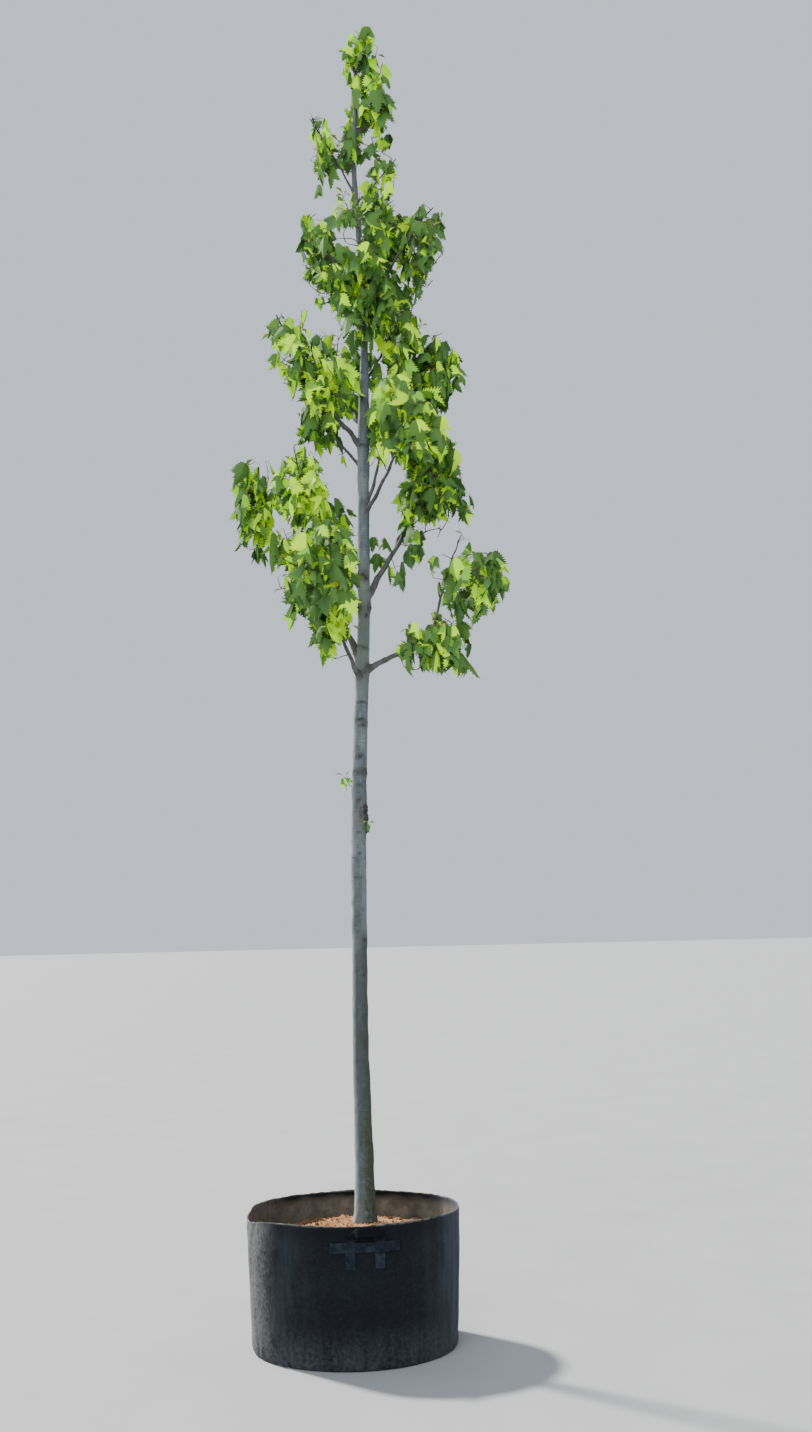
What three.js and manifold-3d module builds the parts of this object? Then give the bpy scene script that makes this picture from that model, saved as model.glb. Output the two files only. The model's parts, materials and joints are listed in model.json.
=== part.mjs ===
// Young broad-leaved tree, about five and a half metres tall, growing in a
// round black fabric bag that holds its root ball.
// Millimetres, +Z up. The origin is the middle of the bag's flat underside,
// and the side with the first lifting handle faces -Y.
//
// The tree is one slender trunk with a narrow, airy crown: every bough is one
// tapering limb, and every mass of leaves is one closed uneven solid that is
// cut clear of the trunk and of its neighbours.

import * as THREE from "three";
import { mergeVertices } from "three/addons/utils/BufferGeometryUtils.js";
import Module from "manifold-3d";

const wasm = await Module();
wasm.setup();

// ---------------------------------------------------------------- dimensions

const GAP = 0.4; // clearance between pieces that touch

const BAG_HEIGHT = 504; // ground to rim
const BAG_RIM_RADIUS = 401;
const BAG_FOOT_RADIUS = 388;
const BAG_WALL = 4.5;
const BAG_FLOOR = 5;
const BAG_SIDES = 32;
const RIM_DIP = { azimuth: 193, width: 22, depth: 26, step: 178 }; // the rim sags here, in a step at one side
const WALL_BULGE = { azimuth: 190, width: 42, height: 300, out: 14 }; // and the wall stands out

const SOIL_TOP = 449; // flat pad under the trunk
const SOIL_EDGE = 402; // along the wall
const SOIL_PAD_RADIUS = 108;
const SOIL_MOUND_RADIUS = 285;

const TRUNK_SIDES = 10;
// height of the station, drift of the axis along +X, radius
const TRUNK = [
  [SOIL_TOP + GAP, 41, 46],
  [478, 41, 41.5],
  [560, 42, 38.5],
  [717, 42, 36.4],
  [1098, 35, 31.4],
  [1880, 40, 30.4],
  [2359, 54, 30.2],
  [2600, 66, 26.6],
  [2810, 80, 24.8],
  [3352, 86, 24.4],
  [3585, 91, 23.4],
  [3786, 98, 20.1],
  [4006, 103, 16],
  [4450, 94, 13.2],
  [4660, 73, 12.4],
  [4751, 67, 12],
  [5140, 84, 6.5],
  [5448, 92, 3],
];
const TRUNK_SWAY = { amount: 9, wave: 780 }; // slow bend of the axis along Y

const BOUGH_SIDES = 6;
const BOUGH_RINGS = 4;
const BOUGH_TAPER = 0.42; // tip radius over base radius
// Each limb leaves its parent at a height, in a compass direction (azimuth, 0 is
// +X and 90 is +Y), and covers a horizontal reach while it climbs; bow bends
// that climb, up at the end when positive.
const BOUGHS = {
  limb_low_right: { height: 2601, azimuth: 329.2, reach: 377, climb: 78, bow: -0.86, radius: 14 },
  limb_low_right_rise: { from: "limb_low_right", at: 0.86, azimuth: 321.6, reach: 173, climb: 423, bow: -0.4, radius: 7 },
  limb_mid_right: { height: 2906, azimuth: 35.7, reach: 343, climb: 541, bow: 0.23, radius: 15 },
  limb_upper_right: { height: 3288, azimuth: 311.2, reach: 194, climb: 440, bow: 0.7, radius: 9.5 },
  limb_high_right: { height: 3589, azimuth: 33.6, reach: 428, climb: 506, bow: 0.04, radius: 10.5 },
  limb_top_right: { height: 4126, azimuth: 331.7, reach: 340, climb: 405, bow: -0.33, radius: 8 },
  limb_tip_right: { height: 4637, azimuth: 39.9, reach: 229, climb: 283, bow: 0.02, radius: 5 },
  limb_low_left: { height: 2573, azimuth: 240.1, reach: 231, climb: 290, bow: 0.75, radius: 12.5 },
  limb_mid_left: { height: 2647, azimuth: 156, reach: 165, climb: 317, bow: -0.02, radius: 15 },
  limb_far_left: { from: "limb_mid_left", at: 0.97, azimuth: 161.1, reach: 222, climb: 209, bow: 0.6, radius: 9.5 },
  limb_far_left_rise: { from: "limb_far_left", at: 0.98, azimuth: 160, reach: 151, climb: 330, bow: 0.3, radius: 6 },
  limb_mid_left_rise: { from: "limb_mid_left", at: 0.99, azimuth: 246.4, reach: 261, climb: 552, bow: 0.25, radius: 8 },
  limb_upper_left: { height: 3546, azimuth: 213.5, reach: 405, climb: 505, bow: 0.23, radius: 11 },
  limb_inner_left: { height: 3460, azimuth: 144.3, reach: 302, climb: 377, bow: 0.11, radius: 7 },
  limb_high_left: { height: 4073, azimuth: 145.4, reach: 328, climb: 590, bow: -0.48, radius: 8 },
  limb_top_left: { height: 4678, azimuth: 212, reach: 214, climb: 289, bow: -0.07, radius: 5 },
  limb_low_front: { from: "limb_low_left", at: 0.85, azimuth: 262, reach: 262, climb: 130, bow: 0.3, radius: 7 },
  limb_mid_front: { height: 3262, azimuth: 297, reach: 430, climb: 300, bow: 0.2, radius: 10 },
  limb_high_front: { height: 3960, azimuth: 268, reach: 290, climb: 420, bow: 0.3, radius: 7 },
  limb_low_back: { height: 2950, azimuth: 115, reach: 470, climb: 430, bow: 0.3, radius: 12 },
  limb_mid_back: { from: "limb_mid_right", at: 0.3, azimuth: 62.2, reach: 396, climb: 598, bow: 0.2, radius: 8.5 },
  limb_upper_back: { height: 3640, azimuth: 108, reach: 420, climb: 480, bow: 0.3, radius: 9 },
  limb_high_back: { height: 3840, azimuth: 68, reach: 390, climb: 490, bow: 0.3, radius: 8 },
};

// Each mass hangs about a point on the limb that carries it (or about the
// trunk): at says how far along, off is the shift of its middle, and size holds
// its half width, half depth and half height.
const MASSES = {
  leaves_top: { on: "trunk", height: 5296, off: [38, 1, 0], size: [110, 112, 150] },
  leaves_leader_upper: { on: "trunk", height: 5030, off: [72, 34, 14], size: [124, 130, 149] },
  leaves_leader_left: { on: "trunk", height: 4898, off: [-42, -45, -31], size: [59, 92, 103] },
  leaves_leader_right: { on: "limb_tip_right", at: 0.75, off: [-12, -23, -92], size: [91, 110, 151] },
  leaves_top_left: { on: "limb_top_left", at: 0.9, off: [27, 9, -129], size: [73, 96, 175] },
  leaves_upper_right: { on: "trunk", height: 4528, off: [138, 58, 29], size: [113, 142, 160] },
  leaves_upper_left: { on: "trunk", height: 4575, off: [-50, -42, -35], size: [63, 100, 115] },
  leaves_top_right: { on: "limb_top_right", at: 0.9, off: [-4, 34, -130], size: [107, 132, 203] },
  leaves_high_left: { on: "limb_high_left", at: 0.72, off: [-8, 3, -113], size: [117, 136, 219] },
  leaves_centre: { on: "limb_high_front", at: 0.2, off: [8, -70, 150], size: [150, 128, 186] },
  leaves_high_front: { on: "limb_high_front", at: 1, off: [9, 29, -46], size: [137, 140, 197] },
  leaves_far_upper_left: { on: "limb_upper_left", at: 0.85, off: [1, -3, -67], size: [98, 122, 199] },
  leaves_inner_upper_left: { on: "limb_upper_left", at: 0.5, off: [13, 18, 29], size: [101, 124, 193] },
  leaves_high_right: { on: "limb_high_right", at: 0.93, off: [-10, -23, -111], size: [104, 134, 200] },
  leaves_high_right_inner: { on: "limb_high_right", at: 0.5, off: [-3, -51, 159], size: [101, 128, 181] },
  leaves_upper_right_inner: { on: "limb_upper_right", at: 0.93, off: [0, 0, -35], size: [81, 112, 179] },
  leaves_mid_right_upper: { on: "limb_mid_right", at: 1, off: [-11, -40, 153], size: [135, 150, 172] },
  leaves_mid_right: { on: "limb_mid_right", at: 0.95, off: [27, -60, -85], size: [167, 158, 167] },
  leaves_low_right: { on: "limb_low_right", at: 0.92, off: [-19, 24, -4], size: [165, 148, 137] },
  leaves_low_right_upper: { on: "limb_low_right_rise", at: 0.8, off: [49, 9, -106], size: [173, 150, 161] },
  leaves_inner_left: { on: "limb_inner_left", at: 0.75, off: [-3, 4, -40], size: [102, 112, 124] },
  leaves_mid_left: { on: "limb_mid_left_rise", at: 0.72, off: [4, -17, 16], size: [124, 136, 178] },
  leaves_far_left: { on: "limb_far_left_rise", at: 0.62, off: [-8, 0, 31], size: [108, 136, 218] },
  leaves_mid_left_lower: { on: "limb_far_left", at: 0.7, off: [9, -38, -37], size: [123, 142, 211] },
  leaves_low_left: { on: "limb_low_left", at: 0.94, off: [4, 10, -10], size: [104, 118, 216] },
  leaves_low_front: { on: "limb_low_front", at: 1, off: [5, 6, 18], size: [134, 132, 189] },
  leaves_mid_front: { on: "limb_mid_front", at: 1, off: [6, 27, -31], size: [131, 142, 191] },
  leaves_low_back: { on: "limb_low_back", at: 1, off: [4, -55, -68], size: [148, 165, 198] },
  leaves_mid_back: { on: "limb_mid_back", at: 1, off: [-1, -30, -63], size: [149, 165, 199] },
  leaves_upper_back: { on: "limb_upper_back", at: 1, off: [1, -22, -63], size: [139, 160, 199] },
  leaves_high_back: { on: "limb_high_back", at: 1, off: [0, -33, -64], size: [139, 155, 199] },
};
const SMALL_MASS = 120; // half width below which a mass gets the coarser ball

// Webbing handles, sewn on at the front and at the back.
const HANDLE = {
  azimuths: [277.5, 97.5],
  band: { length: 256, width: 37, height: 430 },
  tab: { width: 37, bottom: 353, top: 462, apart: 108 },
  loop: { foot: 452, top: 485, out: 37, half: 25 },
  thickness: 3,
};

// ------------------------------------------------------------------- helpers

const rad = (degrees) => (degrees * Math.PI) / 180;
const clamp01 = (x) => Math.min(1, Math.max(0, x));
const smooth = (x) => clamp01(x) ** 2 * (3 - 2 * clamp01(x));
const mix = (a, b, t) => a + (b - a) * t;

// A small repeatable generator, seeded by a piece's name.
function chance(name) {
  let h = 2166136261;
  for (const c of name) h = Math.imul(h ^ c.charCodeAt(0), 16777619);
  return () => {
    h = Math.imul(h ^ (h >>> 15), 2246822507) + 0x6d2b79f5;
    const x = Math.imul(h ^ (h >>> 13), 3266489909);
    return ((x ^ (x >>> 16)) >>> 0) / 4294967296;
  };
}

// Distance between two compass directions, in degrees.
const turn = (a, b) => Math.abs(((a - b + 540) % 360) - 180);
const hump = (x, width) => Math.exp(-((x / width) ** 2));

// A closed three.js geometry as a solid.
function solid(geometry) {
  const g = geometry.index ? geometry.toNonIndexed() : geometry.clone();
  for (const name of ["normal", "uv"]) g.deleteAttribute(name);
  const merged = mergeVertices(g, 1e-3);
  const index = merged.index.array;
  const kept = [];
  for (let i = 0; i < index.length; i += 3) {
    const [a, b, c] = [index[i], index[i + 1], index[i + 2]];
    if (a !== b && b !== c && a !== c) kept.push(a, b, c);
  }
  const build = (triangles) =>
    new wasm.Manifold(
      new wasm.Mesh({
        numProp: 3,
        vertProperties: new Float32Array(merged.attributes.position.array),
        triVerts: new Uint32Array(triangles),
      }),
    );
  const made = build(kept);
  if (made.volume() > 0) return made;
  const turned = [];
  for (let i = 0; i < kept.length; i += 3)
    turned.push(kept[i], kept[i + 2], kept[i + 1]);
  return build(turned);
}

// The largest connected piece of a solid.
function largest(s) {
  return s.decompose().sort((a, b) => b.volume() - a.volume())[0];
}

// A solid back as a named mesh.
function meshOf(s, name, material) {
  const m = s.getMesh();
  const n = m.numProp;
  const position = new Float32Array(m.numVert * 3);
  for (let i = 0; i < m.numVert; i++)
    position.set(m.vertProperties.subarray(i * n, i * n + 3), i * 3);
  const g = new THREE.BufferGeometry();
  g.setAttribute("position", new THREE.BufferAttribute(position, 3));
  g.setIndex(new THREE.BufferAttribute(new Uint32Array(m.triVerts), 1));
  g.computeVertexNormals();
  const mesh = new THREE.Mesh(g, material);
  mesh.name = name;
  return mesh;
}

// Moves every vertex of a geometry through a function.
function shape(geometry, move) {
  const p = geometry.attributes.position;
  const v = new THREE.Vector3();
  for (let i = 0; i < p.count; i++) {
    v.fromBufferAttribute(p, i);
    move(v);
    p.setXYZ(i, v.x, v.y, v.z);
  }
  return geometry;
}

// A closed round limb along a curve: at(t) gives its axis, radius(t) its
// radius, for t from 0 to 1.
function limb(at, radius, sides, rings) {
  const g = new THREE.CylinderGeometry(1, 1, 1, sides, rings);
  const chord = at(1).sub(at(0));
  const level = new THREE.Vector3(-chord.y, chord.x, 0).normalize(); // one side for every ring, so the limb has no twist
  return shape(g, (v) => {
    const t = v.y + 0.5;
    const here = at(t);
    const along = at(Math.min(1, t + 0.01)).sub(at(Math.max(0, t - 0.01))).normalize();
    const side = level.clone().addScaledVector(along, -level.dot(along)).normalize();
    const up = along.clone().cross(side);
    const r = radius(t);
    const x = v.x;
    const z = v.z;
    v.copy(here).addScaledVector(side, r * x).addScaledVector(up, r * z);
  });
}

// ----------------------------------------------------------------------- bag

const BAG_LEVELS = [14, 60, 205, 330, SOIL_EDGE]; // heights at which the wall may bend

// The wall's radius before it is pushed out of round.
const wallRadius = (z) =>
  mix(BAG_FOOT_RADIUS, BAG_RIM_RADIUS, smooth((1.1 * z) / BAG_HEIGHT)) - 6 * hump(z, 14);

function wallWander(azimuth, z) {
  const t = clamp01(z / BAG_HEIGHT);
  const round = hump(turn(azimuth, WALL_BULGE.azimuth), WALL_BULGE.width);
  return (
    2.6 * Math.sin(rad(3 * azimuth + 40)) * t +
    1.8 * Math.sin(rad(7 * azimuth + 10) + z / 140) * smooth(t * 3) +
    WALL_BULGE.out * round * hump(z - WALL_BULGE.height, 520)
  );
}

const bagRadius = (azimuth, z) => wallRadius(z) + wallWander(azimuth, z);

// How far the rim lies below or above its nominal height.
const rimShift = (azimuth) =>
  1.5 * Math.sin(rad(5 * azimuth)) -
  RIM_DIP.depth *
    hump(turn(azimuth, RIM_DIP.azimuth), RIM_DIP.width) *
    smooth(((azimuth % 360) - RIM_DIP.step) / 7);

// Turns a profile of [radius, height] pairs round the axis and pushes the
// result out of round the way the bag is.
function turned(profile) {
  const points = profile.map(([r, z]) => new THREE.Vector2(r, z));
  const g = new THREE.LatheGeometry(points, BAG_SIDES).rotateX(Math.PI / 2);
  return shape(g, (v) => {
    const azimuth = (Math.atan2(v.y, v.x) * 180) / Math.PI + 360;
    const r = Math.hypot(v.x, v.y);
    const share = smooth((r / BAG_FOOT_RADIUS - 0.5) * 2.2);
    const moved = r + share * wallWander(azimuth, v.z);
    const lift = smooth((v.z - 380) / (BAG_HEIGHT - 380)) * share;
    v.set(
      moved * Math.cos(rad(azimuth)),
      moved * Math.sin(rad(azimuth)),
      v.z + lift * rimShift(azimuth),
    );
  });
}

function bag() {
  const rim = [wallRadius(BAG_HEIGHT), BAG_HEIGHT];
  const side = BAG_LEVELS.map((z) => [wallRadius(z), z]);
  const foot = [wallRadius(0), 0];
  const inside = ([r, z]) => [r - BAG_WALL, z];
  return turned([
    [0, 0],
    [0.6 * BAG_FOOT_RADIUS, 0],
    foot,
    ...side,
    rim,
    inside(rim),
    ...side.slice(1).reverse().map(inside),
    [foot[0] - BAG_WALL, BAG_FLOOR],
    [0.6 * BAG_FOOT_RADIUS, BAG_FLOOR],
    [0, BAG_FLOOR],
  ]);
}

// ---------------------------------------------------------------------- soil

function soilHeight(x, y) {
  const r = Math.hypot(x, y);
  if (r < SOIL_PAD_RADIUS) return SOIL_TOP;
  const t = (r - SOIL_PAD_RADIUS) / (SOIL_MOUND_RADIUS - SOIL_PAD_RADIUS);
  const bumps = 4 * Math.sin(x / 37 + 1) * Math.sin(y / 43) * smooth(t * 3);
  return mix(SOIL_TOP, SOIL_EDGE, smooth(t)) + bumps;
}

function soil() {
  const inside = (z) => wallRadius(z) - BAG_WALL - 2;
  const edge = inside(SOIL_EDGE) - 1;
  const floor = BAG_FLOOR + GAP;
  const g = turned([
    [0, floor],
    [wallRadius(0) - BAG_WALL - 2, floor],
    ...BAG_LEVELS.slice(1, 4).map((z) => [inside(z), z]),
    [edge, SOIL_EDGE],
    ...[0.72, 0.5, 0.28, 0].map((share) => [share * edge, SOIL_EDGE]),
  ]);
  return shape(g, (v) => {
    if (v.z > BAG_LEVELS[3] + 1) v.z = soilHeight(v.x, v.y);
  });
}

// --------------------------------------------------------------------- trunk

function trunkStation(z) {
  let i = 1;
  while (i < TRUNK.length - 1 && TRUNK[i][0] < z) i++;
  const [a, b] = [TRUNK[i - 1], TRUNK[i]];
  const t = clamp01((z - a[0]) / (b[0] - a[0]));
  return { x: mix(a[1], b[1], t), r: mix(a[2], b[2], t) };
}

function trunkAxis(z) {
  const foot = TRUNK[0][0];
  const sway = TRUNK_SWAY.amount * Math.sin((z - foot) / TRUNK_SWAY.wave);
  return new THREE.Vector3(trunkStation(z).x, sway, z);
}

// Swollen collars where the limbs leave.
function trunkRadius(z) {
  let r = trunkStation(z).r;
  for (const b of Object.values(BOUGHS))
    if (b.height) r += 0.12 * b.radius * hump(z - b.height - 10, 34);
  return r;
}

function trunk(grow = 0) {
  const heights = [...TRUNK.map((s) => s[0]), 830, 1350, 1620, 2130, 2480, 2700, 2950, 3120, 4200, 4900]
    .sort((a, b) => a - b);
  const n = heights.length - 1;
  const at = (t) => {
    const i = Math.min(n - 1, Math.floor(t * n + 1e-6));
    return mix(heights[i], heights[i + 1], t * n - i);
  };
  const g = new THREE.CylinderGeometry(1, 1, 1, TRUNK_SIDES, n);
  return shape(g, (v) => {
    const z = at(v.y + 0.5);
    const axis = trunkAxis(z);
    const r = trunkRadius(z) + grow;
    v.set(axis.x + r * v.x, axis.y + r * v.z, z);
  });
}

// -------------------------------------------------------------------- boughs

// The axis of a limb, for t from 0 to 1.
function boughAxis(name) {
  const b = BOUGHS[name];
  const start = b.from ? boughAxis(b.from)(b.at) : trunkAxis(b.height);
  const random = chance(name);
  const weave = (random() - 0.5) * 0.1 * b.reach;
  const c = Math.cos(rad(b.azimuth));
  const s = Math.sin(rad(b.azimuth));
  return (t) => {
    const out = b.reach * t;
    const aside = weave * Math.sin(Math.PI * t);
    return new THREE.Vector3(
      start.x + out * c - aside * s,
      start.y + out * s + aside * c,
      start.z + b.climb * (t + b.bow * (t * t - t)),
    );
  };
}

function bough(name, grow = 0) {
  const b = BOUGHS[name];
  const radius = (t) =>
    b.radius * (mix(1, BOUGH_TAPER, t) + 0.25 * hump(t, 0.12)) + grow;
  return limb(boughAxis(name), radius, BOUGH_SIDES, BOUGH_RINGS);
}

// -------------------------------------------------------------------- masses

function massCentre(name) {
  const m = MASSES[name];
  const on = m.on === "trunk" ? trunkAxis(m.height) : boughAxis(m.on)(m.at);
  return on.add(new THREE.Vector3(...m.off));
}

// An uneven ball: broad above, narrower where the leaves hang down.
function mass(name, grow = 0) {
  const m = MASSES[name];
  const random = chance(name);
  const waves = [];
  for (let i = 0; i < 6; i++) {
    const axis = new THREE.Vector3(random() - 0.5, random() - 0.5, random() - 0.5);
    axis.normalize().multiplyScalar(mix(2, 5.5, random()));
    waves.push({ axis, phase: 2 * Math.PI * random() });
  }
  const centre = massCentre(name);
  const g = new THREE.IcosahedronGeometry(1, m.size[0] < SMALL_MASS ? 1 : 2);
  return shape(g, (v) => {
    v.normalize();
    let f = 1;
    for (const w of waves) f += 0.055 * Math.sin(w.axis.dot(v) + w.phase);
    const width = 0.95 + 0.13 * v.z;
    v.set(
      centre.x + (m.size[0] * f * width + grow) * v.x,
      centre.y + (m.size[1] * f * width + grow) * v.y,
      centre.z + (m.size[2] * f + grow) * v.z,
    );
  });
}

// ------------------------------------------------------------------- handles

// Bends a flat strip round the bag: x runs along the wall, y up, z outwards.
function onWall(geometry, azimuth) {
  return shape(geometry, (v) => {
    const a = azimuth + ((v.x / BAG_RIM_RADIUS) * 180) / Math.PI;
    const r = bagRadius(a, v.y) + 0.6 + v.z;
    v.set(r * Math.cos(rad(a)), r * Math.sin(rad(a)), v.y);
  });
}

function strip(width, height, x, y, across, up) {
  const t = HANDLE.thickness;
  const g = new THREE.BoxGeometry(width, height, t, across, up, 1);
  g.translate(x, y, t / 2);
  return g;
}

// The grip: the webbing leaves the wall, turns over and comes back.
function grip() {
  const { loop, tab, thickness } = HANDLE;
  const foot = tab.apart / 2;
  const knee = (foot + loop.half) / 2;
  const path = new THREE.CatmullRomCurve3([
    new THREE.Vector3(-foot, loop.foot - 14, thickness / 2),
    new THREE.Vector3(-foot, loop.foot, thickness / 2 + 1),
    new THREE.Vector3(-knee, mix(loop.foot, loop.top, 0.5), loop.out * 0.45),
    new THREE.Vector3(-loop.half, loop.top, loop.out * 0.92),
    new THREE.Vector3(0, loop.top + 3, loop.out),
    new THREE.Vector3(loop.half, loop.top, loop.out * 0.92),
    new THREE.Vector3(knee, mix(loop.foot, loop.top, 0.5), loop.out * 0.45),
    new THREE.Vector3(foot, loop.foot, thickness / 2 + 1),
    new THREE.Vector3(foot, loop.foot - 14, thickness / 2),
  ]);
  const g = new THREE.BoxGeometry(1, 1, 1, 14, 1, 1);
  return shape(g, (v) => {
    const t = v.x + 0.5;
    const here = path.getPoint(t);
    const along = path.getTangent(t);
    const flat = smooth(Math.abs(t - 0.5) * 3.2 - 0.35);
    const across = new THREE.Vector3(t < 0.5 ? -flat : flat, 0.95 * (1 - flat), -0.35 * (1 - flat));
    across.addScaledVector(along, -across.dot(along)).normalize();
    const normal = along.clone().cross(across).normalize();
    const width = mix(30, tab.width, flat);
    here.addScaledVector(across, v.y * width);
    here.addScaledVector(normal, v.z * thickness);
    v.set(here.x, here.y, Math.max(0, here.z));
  });
}

function handle(azimuth) {
  const { band, tab } = HANDLE;
  const side = tab.apart / 2;
  let made = solid(onWall(strip(band.length, band.width, 0, band.height, 8, 1), azimuth));
  for (const x of [-side, side]) {
    const height = tab.top - tab.bottom;
    const middle = tab.bottom + height / 2;
    made = made.add(solid(onWall(strip(tab.width, height, x, middle, 1, 2), azimuth)));
  }
  return largest(made.add(solid(onWall(grip(), azimuth))));
}

// ------------------------------------------------------------------ the tree

const MATERIALS = {
  bag: new THREE.MeshStandardMaterial({ color: 0x1b1d20, roughness: 0.95, metalness: 0 }),
  webbing: new THREE.MeshStandardMaterial({ color: 0x15171a, roughness: 0.8, metalness: 0 }),
  soil: new THREE.MeshStandardMaterial({ color: 0x8a553c, roughness: 1, metalness: 0 }),
  bark: new THREE.MeshStandardMaterial({ color: 0x8f918a, roughness: 0.85, metalness: 0 }),
  leaves: new THREE.MeshStandardMaterial({ color: 0x5c9a2e, roughness: 0.6, metalness: 0 }),
};

const tree = new THREE.Group();
const put = (s, name, material) => tree.add(meshOf(s, name, material.clone()));

put(solid(bag()), "bag", MATERIALS.bag);
put(solid(soil()), "root_ball", MATERIALS.soil);
HANDLE.azimuths.forEach((azimuth, i) =>
  put(handle(azimuth), ["handle_front", "handle_back"][i], MATERIALS.webbing),
);
put(solid(trunk()), "trunk", MATERIALS.bark);

// Foliage first, each mass clear of the trunk and of the masses before it.
const trunkRoom = solid(trunk(GAP));
const massRoom = [];
for (const name of Object.keys(MASSES)) {
  let s = solid(mass(name)).subtract(trunkRoom);
  for (const taken of massRoom) s = s.subtract(taken);
  put(largest(s), name, MATERIALS.leaves);
  massRoom.push(solid(mass(name, GAP)));
}

// Then the limbs, each from its parent to where it enters the leaves.
const limbRoom = [];
for (const name of Object.keys(BOUGHS)) {
  let s = solid(bough(name)).subtract(trunkRoom);
  for (const taken of [...massRoom, ...limbRoom]) s = s.subtract(taken);
  put(largest(s), name, MATERIALS.bark);
  limbRoom.push(solid(bough(name, GAP)));
}

export default tree;
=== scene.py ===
import json
import math

import bpy
import numpy as np
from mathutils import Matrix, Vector
from mathutils.geometry import delaunay_2d_cdt

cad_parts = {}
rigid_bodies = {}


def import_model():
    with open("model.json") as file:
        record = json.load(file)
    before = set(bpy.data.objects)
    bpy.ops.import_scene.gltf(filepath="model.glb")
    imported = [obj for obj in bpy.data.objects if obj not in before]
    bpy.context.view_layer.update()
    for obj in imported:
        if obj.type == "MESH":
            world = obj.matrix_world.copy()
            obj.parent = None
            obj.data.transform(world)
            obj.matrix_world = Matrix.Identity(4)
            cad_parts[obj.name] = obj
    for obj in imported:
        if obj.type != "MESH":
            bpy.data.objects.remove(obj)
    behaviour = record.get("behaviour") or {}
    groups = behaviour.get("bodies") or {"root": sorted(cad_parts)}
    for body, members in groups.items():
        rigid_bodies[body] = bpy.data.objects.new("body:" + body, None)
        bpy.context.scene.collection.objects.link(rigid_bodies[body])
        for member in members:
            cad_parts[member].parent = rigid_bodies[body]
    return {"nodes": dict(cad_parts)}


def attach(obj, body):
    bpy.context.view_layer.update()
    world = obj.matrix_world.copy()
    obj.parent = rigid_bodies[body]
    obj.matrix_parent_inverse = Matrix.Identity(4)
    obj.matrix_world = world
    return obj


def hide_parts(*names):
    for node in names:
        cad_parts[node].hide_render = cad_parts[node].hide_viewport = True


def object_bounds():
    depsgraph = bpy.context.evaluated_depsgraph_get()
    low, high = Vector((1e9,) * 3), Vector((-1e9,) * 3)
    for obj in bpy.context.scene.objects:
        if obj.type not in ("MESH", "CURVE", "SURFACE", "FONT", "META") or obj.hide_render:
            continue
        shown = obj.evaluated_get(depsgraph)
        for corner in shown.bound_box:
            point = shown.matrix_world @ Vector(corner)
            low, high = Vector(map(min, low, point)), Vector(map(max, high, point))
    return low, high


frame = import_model()
CAD_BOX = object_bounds()

# --------------------------------------------------------------- the same
# named sizes as the solids, in metres

BAG_H = 0.504
BAG_RIM = 0.401
BAG_FOOT = 0.388
BAG_WALL = 0.0045
SOIL_TOP = 0.449
SOIL_EDGE = 0.402
SOIL_PAD = 0.108
SOIL_MOUND = 0.285

TRUNK = np.array(
    [
        [449.4, 41, 46],
        [478, 41, 41.5],
        [560, 42, 38.5],
        [717, 42, 36.4],
        [1098, 35, 31.4],
        [1880, 40, 30.4],
        [2359, 54, 30.2],
        [2600, 66, 26.6],
        [2810, 80, 24.8],
        [3352, 86, 24.4],
        [3585, 91, 23.4],
        [3786, 98, 20.1],
        [4006, 103, 16],
        [4450, 94, 13.2],
        [4660, 73, 12.4],
        [4751, 67, 12],
        [5140, 84, 6.5],
        [5448, 92, 3],
    ]
) / 1000

# name: parent (None is the trunk), height or share along the parent, azimuth,
# reach, climb, bow, radius (lengths in mm)
BOUGHS = {
    "low_right": (None, 2601, 329.2, 377, 78, -0.86, 14),
    "low_right_rise": ("low_right", 0.86, 321.6, 173, 423, -0.4, 7),
    "mid_right": (None, 2906, 35.7, 343, 541, 0.23, 15),
    "upper_right": (None, 3288, 311.2, 194, 440, 0.7, 9.5),
    "high_right": (None, 3589, 33.6, 428, 506, 0.04, 10.5),
    "top_right": (None, 4126, 331.7, 340, 405, -0.33, 8),
    "tip_right": (None, 4637, 39.9, 229, 283, 0.02, 5),
    "low_left": (None, 2573, 240.1, 231, 290, 0.75, 12.5),
    "mid_left": (None, 2647, 156, 165, 317, -0.02, 15),
    "far_left": ("mid_left", 0.97, 161.1, 222, 209, 0.6, 9.5),
    "far_left_rise": ("far_left", 0.98, 160, 151, 330, 0.3, 6),
    "mid_left_rise": ("mid_left", 0.99, 246.4, 261, 552, 0.25, 8),
    "upper_left": (None, 3546, 213.5, 405, 505, 0.23, 11),
    "inner_left": (None, 3460, 144.3, 302, 377, 0.11, 7),
    "high_left": (None, 4073, 145.4, 328, 590, -0.48, 8),
    "top_left": (None, 4678, 212, 214, 289, -0.07, 5),
    "low_front": ("low_left", 0.85, 262, 262, 130, 0.3, 7),
    "mid_front": (None, 3262, 297, 430, 300, 0.2, 10),
    "high_front": (None, 3960, 268, 290, 420, 0.3, 7),
    "low_back": (None, 2950, 115, 470, 430, 0.3, 12),
    "mid_back": ("mid_right", 0.3, 62.2, 396, 598, 0.2, 8.5),
    "upper_back": (None, 3640, 108, 420, 480, 0.3, 9),
    "high_back": (None, 3840, 68, 390, 490, 0.3, 8),
}

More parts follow.
